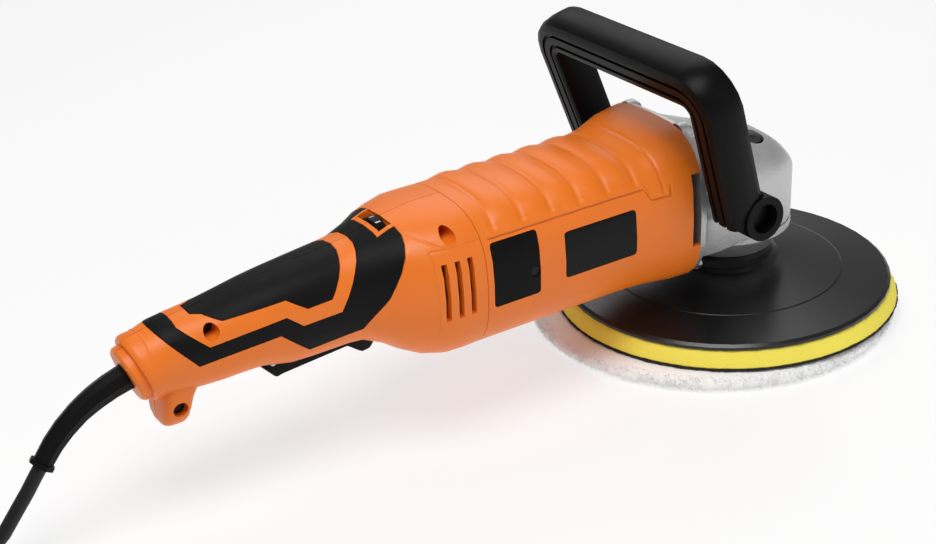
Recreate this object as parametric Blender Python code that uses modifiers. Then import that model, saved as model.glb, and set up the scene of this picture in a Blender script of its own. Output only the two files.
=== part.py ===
"""Rotary polisher: motor housing, clamshell rear handle, bevel gear head, D-handle and buffing pad.

Frame: +X forward to the gear head, +Y to the user's left, +Z up. The origin lies on the spindle
axis, on the work face of the wool pad. Blender units are metres.
"""

import math

import bmesh
import bpy
from mathutils import Matrix, Vector

MM = 0.001
FIT = 0.3 * MM  # clearance between pieces that seat on each other

# Pad stack, from the work face up
PAD_RADIUS = 90 * MM
WOOL_RADIUS = 97.5 * MM
WOOL_THICKNESS = 8.7 * MM
WOOL_OFFSET = (-6.8 * MM, 4.4 * MM)  # the wool pad is stuck on a little off centre
HOOK_THICKNESS = 0.7 * MM
FOAM_THICKNESS = 8.0 * MM
FOAM_TOP_RADIUS = 85.6 * MM
PLATE_RIM_RADIUS = 86.2 * MM
PLATE_RIM_THICKNESS = 2.7 * MM
PLATE_CREASE_RADIUS = 61 * MM
PLATE_CREASE_RISE = 6.3 * MM
HUB_RADIUS = 25 * MM
HUB_HEIGHT = 20.2 * MM

# Gear head
MOTOR_Z = 80 * MM  # height of the armature axis
CASE_BOTTOM_Z = 54 * MM
CASE_NOSE_RADIUS = 33.8 * MM
CASE_CAVITY_RADIUS = 29.5 * MM
CASE_FLANGE = 5.5 * MM
CASE_SCREW_RADIUS = 3.2 * MM
CASE_SCREW_PLACES = ((20, 37), (-20, 37), (28, -32), (-28, -32))  # mm from the motor axis
SPINDLE_RADIUS = 8 * MM
SPINDLE_TOP_Z = 89.5 * MM
SPINDLE_THREAD_RADIUS = 7 * MM
LOWER_BEARING_RADIUS = 15.7 * MM
LOWER_BEARING_HEIGHT = 10 * MM
CROWN_TEETH = 27
PINION_TEETH = 7
CROWN_RADIUS = 27 * MM
TEETH_INNER_RADIUS = 18.5 * MM
CROWN_BASE_Z = 63 * MM
WEB_Z = 74 * MM
LOCK_PLACE = (3 * MM, -14.6 * MM)
LOCK_BUTTON_RADIUS = 6.5 * MM
LOCK_TRAVEL = 3.5 * MM

# Motor and its housing
HOUSING_FRONT_X = -50 * MM
SEAM_X = -173 * MM
HOUSING_WALL = 2.6 * MM
SHAFT_RADIUS = 5 * MM
CORE_RADIUS = 19.7 * MM
STATOR_RADIUS = 31.6 * MM
COMMUTATOR_RADIUS = 12.5 * MM
FAN_RADIUS = 27 * MM
FAN_BLADES = 9
BRUSH_X = -157.5 * MM
RIB_COUNT = 5
RIB_HEIGHT = 1.3 * MM
RIB_FRONT_X = -84 * MM
RIB_REAR_X = -164 * MM
LABEL_CENTRE = (-108.8 * MM, 82.5 * MM)
LABEL_SIZE = (41 * MM, 22.8 * MM)
COVER_CENTRE = (-156.8 * MM, 84 * MM)
COVER_SIZE = (25.2 * MM, 31.2 * MM)

# Rear handle
TAIL_PLACE = (-335.5 * MM, 74.2 * MM)  # x and z of the middle of the collar's end
TAIL_DROP = math.radians(18)  # slope of the cord's axis at the tail
HANDLE_WALL = 3.4 * MM
OVERMOULD = 1.6 * MM
COLLAR_RADIUS = 13.5 * MM
COLLAR_LENGTH = 4.6 * MM
SHOULDER_RADIUS = 16.6 * MM
BOOT_RADIUS = 6.2 * MM
BOOT_END_RADIUS = 4.7 * MM
LOBE_ROWS = (
    (46.3, 5, -323.5, -315), (48, 8.5, -324.6, -313), (51, 11, -325, -311.8), (55, 12.2, -325, -310.6),
    (60, 12.6, -324.5, -309), (66, 12.8, -324, -305), (74, 12.8, -323, -302),
)  # mm: height, half width, rear and front
HANDLE_SCREWS = ((-187.7, 107), (-300, 90), (-317.6, 56.2))  # mm, x and z
VENT_XS = (-194.2, -187.6, -181)  # mm
VENT_WIDTH = 2.7 * MM
VENT_Z = (69 * MM, 97 * MM)
TRIGGER_PIVOT = (-271 * MM, 62.5 * MM)
TRIGGER_HALF_WIDTH = 8.5 * MM
DIAL_X = -208.8 * MM
DIAL_Z = 101 * MM
DIAL_RADIUS = 11 * MM
DIAL_THICKNESS = 5.6 * MM

# D-handle
HANDLE_AXIS = (-31.5 * MM, 82.5 * MM)  # x and z of the two clamping bolts
HANDLE_BOSS_RADIUS = 11.4 * MM
HANDLE_FACE_Y = 46.8 * MM  # inner faces of the arms
HANDLE_BOSS_END_Y = 66 * MM
HANDLE_BAR = (-62 * MM, 155.8 * MM)  # x and z of the bar's centre line
HANDLE_HALF_SPAN = 61 * MM  # centre line of the arms at the bar
HANDLE_FOOT_SPAN = 55.3 * MM  # centre line of the arms at the boss
HANDLE_DEPTH = 10.5 * MM  # half sizes of the arm's section
HANDLE_THICKNESS = 8.8 * MM
HANDLE_GROOVES = (1.5 * MM, -4.2 * MM)  # along the section's thickness, on its rear face
GROOVE_DEPTH = 1.2 * MM
HEEL_OUTLINE = ((-49, 84), (-48, 80.5), (-37.5, 72.8), (-30, 71.2), (-24, 80), (-32, 96),
                (-46, 98))  # mm, x and z
BOLT_RADIUS = 4 * MM
BOLT_HEAD_RADIUS = 6.5 * MM

# Cord
CORD_RADIUS = 3.2 * MM
COIL_CENTRE = (-490 * MM, -59 * MM)
COIL_OUTER = 59 * MM
COIL_TURNS = 3
COIL_PITCH = 7.2 * MM
COIL_BASE_Z = 1.3 * MM

# Sections of the moulded shells: x, centre height, half width, rise, drop (mm) and squareness
SHELL_SECTIONS = (
    (-50, 80, 41.0, 43.0, 40.0, 3.2),
    (-62, 80, 40.5, 41.0, 40.0, 3.1),
    (-74, 80, 39.5, 36.5, 39.0, 2.9),
    (-90, 80, 38.8, 35.0, 38.5, 2.8),
    (-173, 80, 38.3, 34.4, 38.3, 2.8),
    (-190, 80, 38.3, 34.4, 38.3, 2.8),
    (-200, 80.5, 37.4, 32.7, 36.8, 2.5),
    (-208, 81, 33.6, 31.0, 33.4, 2.4),
    (-216, 81.5, 28.0, 28.0, 28.4, 2.4),
    (-226, 82, 23.5, 24.8, 24.4, 2.4),
    (-240, 82, 21.8, 23.3, 24.2, 2.4),
    (-262, 81.7, 20.5, 21.3, 24.0, 2.4),
    (-276, 81.2, 19.6, 20.2, 20.5, 2.3),
    (-295, 80.4, 18.0, 17.6, 20.2, 2.3),
    (-320, 79, 16.2, 16.4, 18.0, 2.2),
    (-327, 78, 15.6, 15.2, 16.2, 2.1),
)
CASE_SECTIONS = (
    (-45, 80, 38.2, 40.0, 38.5, 2.9),
    (-41, 80, 37.0, 38.0, 50.0, 2.7),
    (-32, 80, 35.6, 34.0, 80.0, 2.6),
    (-20, 80, 34.6, 29.5, 80.0, 2.5),
    (0, 80, 33.8, 22.5, 80.0, 2.4),
)
CASE_DOME_END = 29 * MM  # where the falling top meets the upright nose
FLANGE_SECTION = (80, 40.3, 42.0, 39.3, 3.2)

PALM_OUTLINE = (
    (-305, 130), (-305, 96.5), (-300.5, 96.2), (-293.8, 93.1), (-264.6, 94.9), (-255.7, 89.1),
    (-243.7, 90), (-238.2, 97.8), (-233.8, 104), (-231, 107), (-231, 130),
)
BAND_OUTLINE = (
    (-323.2, 130), (-323.2, 94.6), (-318.8, 89.3), (-308, 76.8), (-269.8, 80.1), (-255.9, 67.8), (-230, 70.7),
    (-218, 84.5), (-208.8, 102), (-205.5, 109), (-205.5, 130), (-223.4, 130), (-223.4, 107.3), (-229.8, 98.5),
    (-239.7, 82.5), (-258.9, 81.3), (-266.3, 87.4), (-302.4, 83.9), (-313.6, 94), (-313.6, 130),
)
TRIGGER_OUTLINE = (
    (-277, 62), (-269, 53.2), (-265.8, 54), (-248, 55.4), (-232, 56.6), (-225, 51.2), (-220.5, 51.6),
    (-216.5, 56.8), (-217.5, 64.5), (-262, 66.3), (-274, 66.3),
)

RING = 28  # points round a lofted section

for old in list(bpy.data.objects):
    bpy.data.objects.remove(old, do_unlink=True)
PARTS = bpy.data.collections.new("rotary_polisher")
CUTTERS = bpy.data.collections.new("polisher_cutters")
for group in (PARTS, CUTTERS):
    bpy.context.scene.collection.children.link(group)
CUTTERS.hide_render = True


def finish(name, colour, roughness, metallic=0.0):
    """A Principled material of one colour."""
    material = bpy.data.materials.new(name)
    material.use_nodes = True
    shader = material.node_tree.nodes["Principled BSDF"]
    shader.inputs["Base Color"].default_value = (*colour, 1)
    shader.inputs["Roughness"].default_value = roughness
    shader.inputs["Metallic"].default_value = metallic
    return material


ORANGE = finish("orange_plastic", (0.85, 0.21, 0.03), 0.4)
BLACK = finish("black_plastic", (0.012, 0.012, 0.012), 0.35)
RUBBER = finish("black_overmould", (0.016, 0.016, 0.016), 0.6)
CAST = finish("cast_alloy", (0.62, 0.62, 0.63), 0.4, 1.0)
STEEL = finish("steel", (0.5, 0.5, 0.51), 0.3, 1.0)
IRON = finish("laminated_iron", (0.2, 0.2, 0.21), 0.5, 1.0)
COPPER = finish("copper", (0.72, 0.34, 0.17), 0.35, 1.0)
CARBON = finish("carbon", (0.03, 0.03, 0.03), 0.7)
BRASS = finish("brass", (0.75, 0.55, 0.22), 0.35, 1.0)
FOAM = finish("yellow_foam", (0.85, 0.66, 0.04), 0.85)
HOOK = finish("hook_fabric", (0.02, 0.02, 0.02), 0.9)
WOOL = finish("white_wool", (0.85, 0.85, 0.85), 1.0)


def add(name, mesh, material, cutter=False):
    """Link a mesh as a part, or as a cutter that stays out of the render."""
    item = bpy.data.objects.new(name, mesh)
    (CUTTERS if cutter else PARTS).objects.link(item)
    if cutter:
        item.hide_render = True
        item.display_type = "WIRE"
    else:
        mesh.materials.clear()
        mesh.materials.append(material)
        mesh.shade_smooth()
        mesh.set_sharp_from_angle(angle=math.radians(35))
    return item


def mesh_of(bm, name):
    """Turn a bmesh into mesh data with its faces pointing out."""
    bmesh.ops.recalc_face_normals(bm, faces=bm.faces)
    mesh = bpy.data.meshes.new(name)
    bm.to_mesh(mesh)
    bm.free()
    return mesh


def boolean(item, other, operation="DIFFERENCE"):
    """Cut, join or keep the common part of two solids."""
    modifier = item.modifiers.new(f"{operation.lower()}_{other.name}", "BOOLEAN")
    modifier.operation = operation
    modifier.object = other


def baked(item):
    """The mesh that an object's modifiers give, in world space."""
    bpy.context.view_layer.update()
    graph = bpy.context.evaluated_depsgraph_get()
    mesh = bpy.data.meshes.new_from_object(item.evaluated_get(graph))
    mesh.transform(item.matrix_world)
    bm = bmesh.new()
    bm.from_mesh(mesh)
    bmesh.ops.remove_doubles(bm, verts=bm.verts, dist=0.0005 * MM)
    bmesh.ops.holes_fill(bm, edges=[e for e in bm.edges if e.is_boundary], sides=4)  # slivers that a cut lost
    bmesh.ops.triangulate(bm, faces=bm.faces)
    return mesh_of(bm, item.name)


def settle(item):
    """Apply an object's modifiers, so that later cuts meet a clean mesh."""
    mesh = baked(item)
    mesh.transform(item.matrix_world.inverted())
    material = item.data.materials[0]
    item.modifiers.clear()
    item.data = mesh
    mesh.materials.clear()
    mesh.materials.append(material)


AXIS_TURN = {"Z": (0, 0, 0), "X": (0, math.pi / 2, 0), "Y": (-math.pi / 2, 0, 0)}


def turned(name, profile, material, axis="Z", place=(0, 0, 0), steps=24, closed=False, cutter=False):
    """Spin a profile of (radius, height) about an axis; a solid starts and ends on the axis."""
    mesh = bpy.data.meshes.new(name)
    edges = [(i, i + 1) for i in range(len(profile) - 1)]
    if closed:
        edges.append((len(profile) - 1, 0))
    mesh.from_pydata([(r, 0, h) for r, h in profile], edges, [])
    item = add(name, mesh, material, cutter)
    screw = item.modifiers.new("turn", "SCREW")
    screw.steps = steps
    screw.render_steps = steps
    screw.use_merge_vertices = True
    screw.merge_threshold = 0.00001
    screw.use_smooth_shade = True
    item.rotation_euler = AXIS_TURN[axis]
    item.location = place
    return item


def rod(name, radius, low, high, material=None, axis="Z", place=(0, 0, 0), steps=24, cutter=False):
    """A plain cylinder from low to high along an axis."""
    profile = ((0, high), (radius, high), (radius, low), (0, low))
    return turned(name, profile, material, axis, place, steps, cutter=cutter)


def sleeve(name, inner, outer, low, high, material, axis="Z", place=(0, 0, 0), steps=24):
    """A plain ring with a bore."""
    profile = ((outer, high), (outer, low), (inner, low), (inner, high))
    return turned(name, profile, material, axis, place, steps, closed=True)


def box(name, low, high, material=None, cutter=False, edge=0.0):
    """A block between two corners, with rounded edges where edge is set."""
    bm = bmesh.new()
    bmesh.ops.create_cube(bm, size=1)
    size = [b - a for a, b in zip(low, high)]
    middle = [(a + b) / 2 for a, b in zip(low, high)]
    bmesh.ops.transform(bm, matrix=Matrix.Translation(middle) @ Matrix.Diagonal((*size, 1)), verts=bm.verts)
    item = add(name, mesh_of(bm, name), material, cutter)
    if edge:
        bevel = item.modifiers.new("edges", "BEVEL")
        bevel.width = edge
        bevel.segments = 2
    return item


def prism(name, outline, low_y, high_y, material=None, cutter=False):
    """An XZ outline carried along Y."""
    bm = bmesh.new()
    face = bm.faces.new([bm.verts.new((x, low_y, z)) for x, z in outline])
    moved = bmesh.ops.extrude_face_region(bm, geom=[face])["geom"]
    corners = [v for v in moved if isinstance(v, bmesh.types.BMVert)]
    bmesh.ops.translate(bm, verts=corners, vec=(0, high_y - low_y, 0))
    return add(name, mesh_of(bm, name), material, cutter)


def in_metres(outline):
    return [(x * MM, z * MM) for x, z in outline]


def grown(outline, margin):
    """The outline moved outward by a margin, corner by corner."""
    area = sum(a[0] * b[1] - b[0] * a[1] for a, b in zip(outline, outline[1:] + outline[:1]))
    side = 1 if area > 0 else -1
    moved = []
    for i, point in enumerate(outline):
        before = Vector(outline[i - 1])
        here = Vector(point)
        after = Vector(outline[(i + 1) % len(outline)])
        first = (here - before).normalized()
        second = (after - here).normalized()
        out_a = Vector((first.y, -first.x)) * side
        out_b = Vector((second.y, -second.x)) * side
        corner = out_a + out_b
        moved.append(tuple(here + corner * (margin / max(0.3, corner.dot(out_a)))))
    return moved


def round_rectangle(centre, size, radius, steps=3):
    """A rectangle with arc corners, as (x, z) points."""
    points = []
    for quarter, (sx, sz) in enumerate(((1, 1), (-1, 1), (-1, -1), (1, -1))):
        cx = centre[0] + sx * (size[0] / 2 - radius)
        cz = centre[1] + sz * (size[1] / 2 - radius)
        for k in range(steps + 1):
            angle = (quarter + k / steps) * math.pi / 2
            points.append((cx + radius * math.cos(angle), cz + radius * math.sin(angle)))
    return points


def section_at(table, x):
    """Centre height, half width, rise, drop (metres) and squareness at x, smoothly between table rows."""
    rows = sorted(table)
    x = min(max(x / MM, rows[0][0]), rows[-1][0])
    for i, (a, b) in enumerate(zip(rows, rows[1:])):
        if a[0] <= x <= b[0]:
            before = rows[max(i - 1, 0)]
            after = rows[min(i + 2, len(rows) - 1)]
            span = b[0] - a[0]
            t = (x - a[0]) / span
            mixed = []
            for p, q, r, s in zip(before[1:], a[1:], b[1:], after[1:]):
                slope_a = (r - p) / (b[0] - before[0]) * span
                slope_b = (s - q) / (after[0] - a[0]) * span
                mixed.append(q + slope_a * t + (3 * (r - q) - 2 * slope_a - slope_b) * t * t
                             + (2 * (q - r) + slope_a + slope_b) * t ** 3)
            return [v * MM for v in mixed[:4]] + [mixed[4]]
    return None


def section_ring(section, x, inset=0.0, count=RING, swell=0.0):
    """Points of a rounded section; swell lifts its upper half, as the grip ribs do."""
    centre, width, rise, drop, power = section
    points = []
    for k in range(count):
        angle = 2 * math.pi * k / count
        c, s = math.cos(angle), math.sin(angle)
        reach = (rise if s > 0 else drop) - inset
        y = (width - inset) * math.copysign(abs(c) ** (2 / power), c)
        z = reach * math.copysign(abs(s) ** (2 / power), s)
        lift = 1 + swell * min(1, max(0, (s - 0.55) / 0.2)) / max(rise, MM)
        points.append((x, y * lift, centre + z * lift))
    return points


def loft(rings):
    """A closed solid through rings of equal point count, capped at both ends."""
    bm = bmesh.new()
    made = [[bm.verts.new(p) for p in ring] for ring in rings]
    count = len(made[0])
    for a, b in zip(made, made[1:]):
        for k in range(count):
            bm.faces.new((a[k], a[(k + 1) % count], b[(k + 1) % count], b[k]))
    bmesh.ops.triangulate(bm, faces=bm.faces)
    bm.faces.new(made[0])
    bm.faces.new(made[-1])
    return bm


def spaced(start, end, count):
    return [start + (end - start) * k / (count - 1) for k in range(count)]


def rib_swell(x):
    """Height of the grip ribs at x: rounded waves between the rib zone's ends."""
    share = (x - RIB_REAR_X) / (RIB_FRONT_X - RIB_REAR_X)
    if not 0 < share < 1:
        return 0.0
    return RIB_HEIGHT * 0.5 * (1 - math.cos(2 * math.pi * RIB_COUNT * share))


def shell_solid(name, xs, inset, cutter=True, ribs=False, count=24):
    """A loft of the moulded shell's sections, drawn in by inset."""
    rings = []
    for x in xs:
        swell = rib_swell(x) if ribs else 0.0
        rings.append(section_ring(section_at(SHELL_SECTIONS, x), x, inset, count, swell))
    return add(name, mesh_of(loft(rings), name), None, cutter)


def table_xs(low, high, step=9 * MM):
    """Stations from low to high: the ends, the table's own, and more where rows lie far apart."""
    fixed = sorted([low, high] + [row[0] * MM for row in SHELL_SECTIONS if low < row[0] * MM < high])
    xs = [low]
    for a, b in zip(fixed, fixed[1:]):
        if b > SEAM_X and a > -90 * MM or b <= SEAM_X:
            xs += spaced(a, b, max(2, round((b - a) / step) + 1))[1:]
        else:
            xs.append(b)
    return xs


def pivot(name, place):
    """An empty on a joint's axis, which carries the pieces that move about it."""
    empty = bpy.data.objects.new(name, None)
    empty.location = place
    empty.empty_display_size = 0.02
    PARTS.objects.link(empty)
    bpy.context.view_layer.update()
    return empty


def carry(empty, *items):
    """Hang pieces on an empty without moving them."""
    bpy.context.view_layer.update()
    for item in items:
        item.parent = empty
        item.matrix_parent_inverse = empty.matrix_world.inverted()


def inlay(name, outline, side, blank, depth, material, inset=0.0):
    """A skin piece let into a shell on one side: the piece, and the recess cutter for the shell."""
    reach = 70 * MM
    low, high = (-reach, -FIT / 2) if side == "right" else (FIT / 2, reach)
    piece = add(name, blank["outer"].data.copy(), material)
    boolean(piece, prism(f"{name}_outline", outline, low, high, cutter=True), "INTERSECT")
    boolean(piece, shell_solid(f"{name}_core", blank["xs"], depth))
    recess = prism(f"{name}_recess", grown(outline, FIT), -reach if side == "right" else -FIT,
                   FIT if side == "right" else reach, cutter=True)
    boolean(recess, shell_solid(f"{name}_floor", blank["xs"], depth + FIT))
    return piece, recess


# Pad stack and spindle

hook_z = WOOL_THICKNESS + FIT
foam_z = hook_z + HOOK_THICKNESS + FIT
plate_z = foam_z + FOAM_THICKNESS + FIT
hub_top_z = plate_z + HUB_HEIGHT
soft_edge = 3.5 * MM
wool = turned("wool_pad", (
    (0, WOOL_THICKNESS), (WOOL_RADIUS - soft_edge, WOOL_THICKNESS),
    (WOOL_RADIUS - soft_edge * 0.3, WOOL_THICKNESS * 0.8), (WOOL_RADIUS, WOOL_THICKNESS * 0.5),
    (WOOL_RADIUS - soft_edge * 0.3, WOOL_THICKNESS * 0.2), (WOOL_RADIUS - soft_edge, 0), (0, 0),
), WOOL, place=(*WOOL_OFFSET, 0), steps=48)
hook = rod("hook_layer", PAD_RADIUS - 0.5 * MM, hook_z, hook_z + HOOK_THICKNESS, HOOK, steps=48)
foam = turned("foam_layer", (
    (0, foam_z + FOAM_THICKNESS), (FOAM_TOP_RADIUS, foam_z + FOAM_THICKNESS), (PAD_RADIUS, foam_z),
    (0, foam_z),
), FOAM, steps=48)
thread_bore = SPINDLE_THREAD_RADIUS + FIT
plate = turned("backing_plate", (
    (HUB_RADIUS - 2 * MM, hub_top_z), (HUB_RADIUS, hub_top_z - 2 * MM), (HUB_RADIUS, plate_z + 14.5 * MM),
    (HUB_RADIUS + 3 * MM, plate_z + 13 * MM), (PLATE_CREASE_RADIUS, plate_z + PLATE_CREASE_RISE),
    (PLATE_RIM_RADIUS - 1.5 * MM, plate_z + PLATE_RIM_THICKNESS), (PLATE_RIM_RADIUS, plate_z + 1.5 * MM),
    (PLATE_RIM_RADIUS, plate_z), (thread_bore, plate_z), (thread_bore, hub_top_z),
), BLACK, steps=48, closed=True)

shoulder_z = hub_top_z + FIT
bearing_z = shoulder_z + 2.6 * MM
spindle = turned("spindle", (
    (0, SPINDLE_TOP_Z), (6.5 * MM, SPINDLE_TOP_Z), (6.5 * MM, WEB_Z + 9 * MM),
    (SPINDLE_RADIUS, WEB_Z + 8 * MM),
    (SPINDLE_RADIUS, bearing_z - FIT), (10.5 * MM, bearing_z - FIT), (10.5 * MM, shoulder_z),
    (SPINDLE_THREAD_RADIUS, shoulder_z), (SPINDLE_THREAD_RADIUS, plate_z + MM), (0, plate_z + MM),
), STEEL)
bearing_top_z = bearing_z + LOWER_BEARING_HEIGHT
sleeve("lower_spindle_bearing", SPINDLE_RADIUS + FIT, LOWER_BEARING_RADIUS, bearing_z, bearing_top_z, STEEL)
seat_radius = LOWER_BEARING_RADIUS + FIT
turned("bearing_retainer", (
    (33.5 * MM, CASE_BOTTOM_Z - FIT), (33.5 * MM, CASE_BOTTOM_Z - 4 * MM),
    (27 * MM, CASE_BOTTOM_Z - 5.5 * MM),
    (25 * MM, bearing_z - 1.5 * MM), (24 * MM, bearing_z - 2.5 * MM), (11.6 * MM, bearing_z - 2.5 * MM),
    (11.6 * MM, bearing_z - FIT), (seat_radius, bearing_z - FIT), (seat_radius, CASE_BOTTOM_Z - FIT),
), CAST, closed=True, steps=32)
sleeve("upper_spindle_bush", 6.5 * MM + FIT, 9.7 * MM, MOTOR_Z + 3.4 * MM, SPINDLE_TOP_Z, BRASS)


def tooth_columns(teeth, phase, root_half=0.30, tip_half=0.14):
    """Angles round a toothed rim, with True on a tooth's top land: four columns a tooth."""
    pitch = 2 * math.pi / teeth
    columns = []
    for k in range(teeth):
        middle = phase + k * pitch
        columns.append((middle - root_half * pitch, False))
        columns.append((middle - tip_half * pitch, True))
        columns.append((middle + tip_half * pitch, True))
        columns.append((middle + root_half * pitch, False))
    return columns


def ring_solid(columns, profile_at):
    """A closed ring from one closed profile of (radius, height) for each column."""
    bm = bmesh.new()
    loops = []
    for angle, high in columns:
        c, s = math.cos(angle), math.sin(angle)
        loops.append([bm.verts.new((r * c, r * s, h)) for r, h in profile_at(high)])
    count = len(loops[0])
    for a, b in zip(loops, loops[1:] + loops[:1]):
        for k in range(count):
            bm.faces.new((a[k], b[k], b[(k + 1) % count], a[(k + 1) % count]))
    bmesh.ops.triangulate(bm, faces=bm.faces)
    return bm


GEAR_SLOPE = PINION_TEETH / CROWN_TEETH
TOOTH_MODULE = 2 * CROWN_RADIUS / CROWN_TEETH
ADDENDUM = 0.75 * TOOTH_MODULE
DEDENDUM = 1.2 * TOOTH_MODULE
INNER_SHARE = TEETH_INNER_RADIUS / CROWN_RADIUS


def crown_profile(high):
    """Bevel teeth that face up, drawn to the point where the two gear axes cross."""
    step = ADDENDUM if high else -DEDENDUM
    outer_top = MOTOR_Z - CROWN_RADIUS * GEAR_SLOPE + step
    inner_top = MOTOR_Z - TEETH_INNER_RADIUS * GEAR_SLOPE + step * INNER_SHARE
    bore = SPINDLE_RADIUS + FIT
    return ((CROWN_RADIUS, CROWN_BASE_Z), (CROWN_RADIUS, outer_top), (TEETH_INNER_RADIUS, inner_top),
            (TEETH_INNER_RADIUS - MM, WEB_Z - 1.5 * MM), (bore, WEB_Z - 1.5 * MM), (bore, CROWN_BASE_Z))


def pinion_profile(high):
    """The small bevel gear, with its height measured back from the crossing point."""
    step = ADDENDUM if high else -DEDENDUM
    bore = 2.7 * MM
    back = -CROWN_RADIUS
    front = -TEETH_INNER_RADIUS
    return ((CROWN_RADIUS * GEAR_SLOPE + step, back), (TEETH_INNER_RADIUS * GEAR_SLOPE + step * INNER_SHARE,
                                                       front),
            (bore, front), (bore, back))


half_pitch = math.pi / CROWN_TEETH
crown = add("crown_gear", mesh_of(ring_solid(tooth_columns(CROWN_TEETH, math.pi + half_pitch), crown_profile),
                                  "crown_gear"), STEEL)
lock_radius = math.hypot(*LOCK_PLACE)
for quarter in range(4):
    turn = math.atan2(LOCK_PLACE[1], LOCK_PLACE[0]) + quarter * math.pi / 2
    spot = (lock_radius * math.cos(turn), lock_radius * math.sin(turn), 0)
    boolean(crown, rod(f"lock_hole_{quarter}", 2.9 * MM, CROWN_BASE_Z - MM, WEB_Z + 9 * MM, place=spot,
                       steps=8, cutter=True))
pinion = add("pinion_gear", mesh_of(ring_solid(tooth_columns(PINION_TEETH, 0.0), pinion_profile),
                                    "pinion_gear"), STEEL)
pinion.rotation_euler = AXIS_TURN["X"]
pinion.location = (0, 0, MOTOR_Z)
carry(pivot("spindle_axis", (0, 0, 0)), wool, hook, foam, plate, spindle, crown)

# Armature

motor = (0, 0, MOTOR_Z)
core_front, core_rear = -92 * MM, -145 * MM
shaft = turned("armature_shaft", (
    (0, -TEETH_INNER_RADIUS - 0.5 * MM), (2.4 * MM, -TEETH_INNER_RADIUS - 0.5 * MM),
    (2.4 * MM, -CROWN_RADIUS - FIT), (SHAFT_RADIUS, -CROWN_RADIUS - FIT), (SHAFT_RADIUS, core_front + 4 * MM),
    (SHAFT_RADIUS + MM, core_front + 4 * MM), (SHAFT_RADIUS + MM, core_rear - 3 * MM),
    (SHAFT_RADIUS, core_rear - 3 * MM), (SHAFT_RADIUS, SEAM_X + 7 * MM), (4 * MM, SEAM_X + 7 * MM),
    (4 * MM, SEAM_X + FIT), (0, SEAM_X + FIT),
), STEEL, "X", motor, 16)
core = sleeve("armature_core", SHAFT_RADIUS + MM + FIT, CORE_RADIUS, core_rear, core_front, IRON, "X", motor)
commutator = sleeve("commutator", SHAFT_RADIUS + FIT, COMMUTATOR_RADIUS, -164 * MM, -152.5 * MM, COPPER,
                    "X", motor)
fan_back, fan_front = -74 * MM, -60 * MM


def fan_profile(high):
    top = fan_front if high else fan_back + 2.5 * MM
    hub_radius = 9 * MM
    return ((FAN_RADIUS, fan_back), (FAN_RADIUS, top), (hub_radius, top), (hub_radius, fan_front - MM),
            (SHAFT_RADIUS + 2 * FIT, fan_front - MM), (SHAFT_RADIUS + 2 * FIT, fan_back))


fan = add("cooling_fan", mesh_of(ring_solid(tooth_columns(FAN_BLADES, 0.0, 0.1, 0.06), fan_profile),
                                 "cooling_fan"), BLACK)
fan.rotation_euler = AXIS_TURN["X"]
fan.location = motor
carry(pivot("armature_axis", motor), shaft, core, commutator, fan, pinion)
front_bearing = (-47 * MM, -37 * MM)
sleeve("front_armature_bearing", SHAFT_RADIUS + FIT, 13.7 * MM, *front_bearing, STEEL, "X", motor)
sleeve("rear_armature_bearing", 4 * MM + FIT, 10.7 * MM, SEAM_X + FIT, SEAM_X + 6.5 * MM, STEEL, "X", motor)
sleeve("stator", CORE_RADIUS + 0.6 * MM, STATOR_RADIUS, core_rear - 2 * MM, core_front + 2 * MM, IRON, "X",
       motor)

# Motor housing with its brush gear and plates

rib_xs = spaced(RIB_REAR_X, RIB_FRONT_X, RIB_COUNT * 4 + 1)
outer_xs = sorted(set(table_xs(SEAM_X, HOUSING_FRONT_X) + rib_xs))
housing_blank = {"outer": shell_solid("housing_outer", outer_xs, 0, ribs=True, count=RING),
                 "xs": table_xs(SEAM_X - 2 * MM, HOUSING_FRONT_X + 2 * MM)}
housing = add("motor_housing", housing_blank["outer"].data.copy(), ORANGE)
cavity_xs = table_xs(SEAM_X + 5 * MM, HOUSING_FRONT_X + 2 * MM, 20 * MM)
boolean(housing, shell_solid("housing_cavity", cavity_xs, HOUSING_WALL, count=20))
boolean(housing, rod("rear_bearing_bore", 11 * MM, SEAM_X - 5 * MM, SEAM_X + 9 * MM, axis="X", place=motor,
                     cutter=True))
for angle in (50, 130, 230, 310):
    turn = math.radians(angle)
    spot = (0, 21 * MM * math.cos(turn), MOTOR_Z + 21 * MM * math.sin(turn))
    boolean(housing, rod(f"air_hole_{angle}", 6 * MM, SEAM_X - 5 * MM, SEAM_X + 9 * MM, axis="X", place=spot,
                         steps=12, cutter=True))
slot_z = (65 * MM, 103 * MM)
boolean(housing, box("exhaust_slots", (HOUSING_FRONT_X - 5 * MM, -60 * MM, slot_z[0]),
                     (HOUSING_FRONT_X + 5 * MM, 60 * MM, slot_z[1]), cutter=True))
brush_half = (4 * MM, 3 * MM)  # half sizes of a carbon brush along x and z
holder_half = (brush_half[0] + 1.8 * MM, brush_half[1] + 1.8 * MM)
cover_depth = 1.5 * MM
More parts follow.
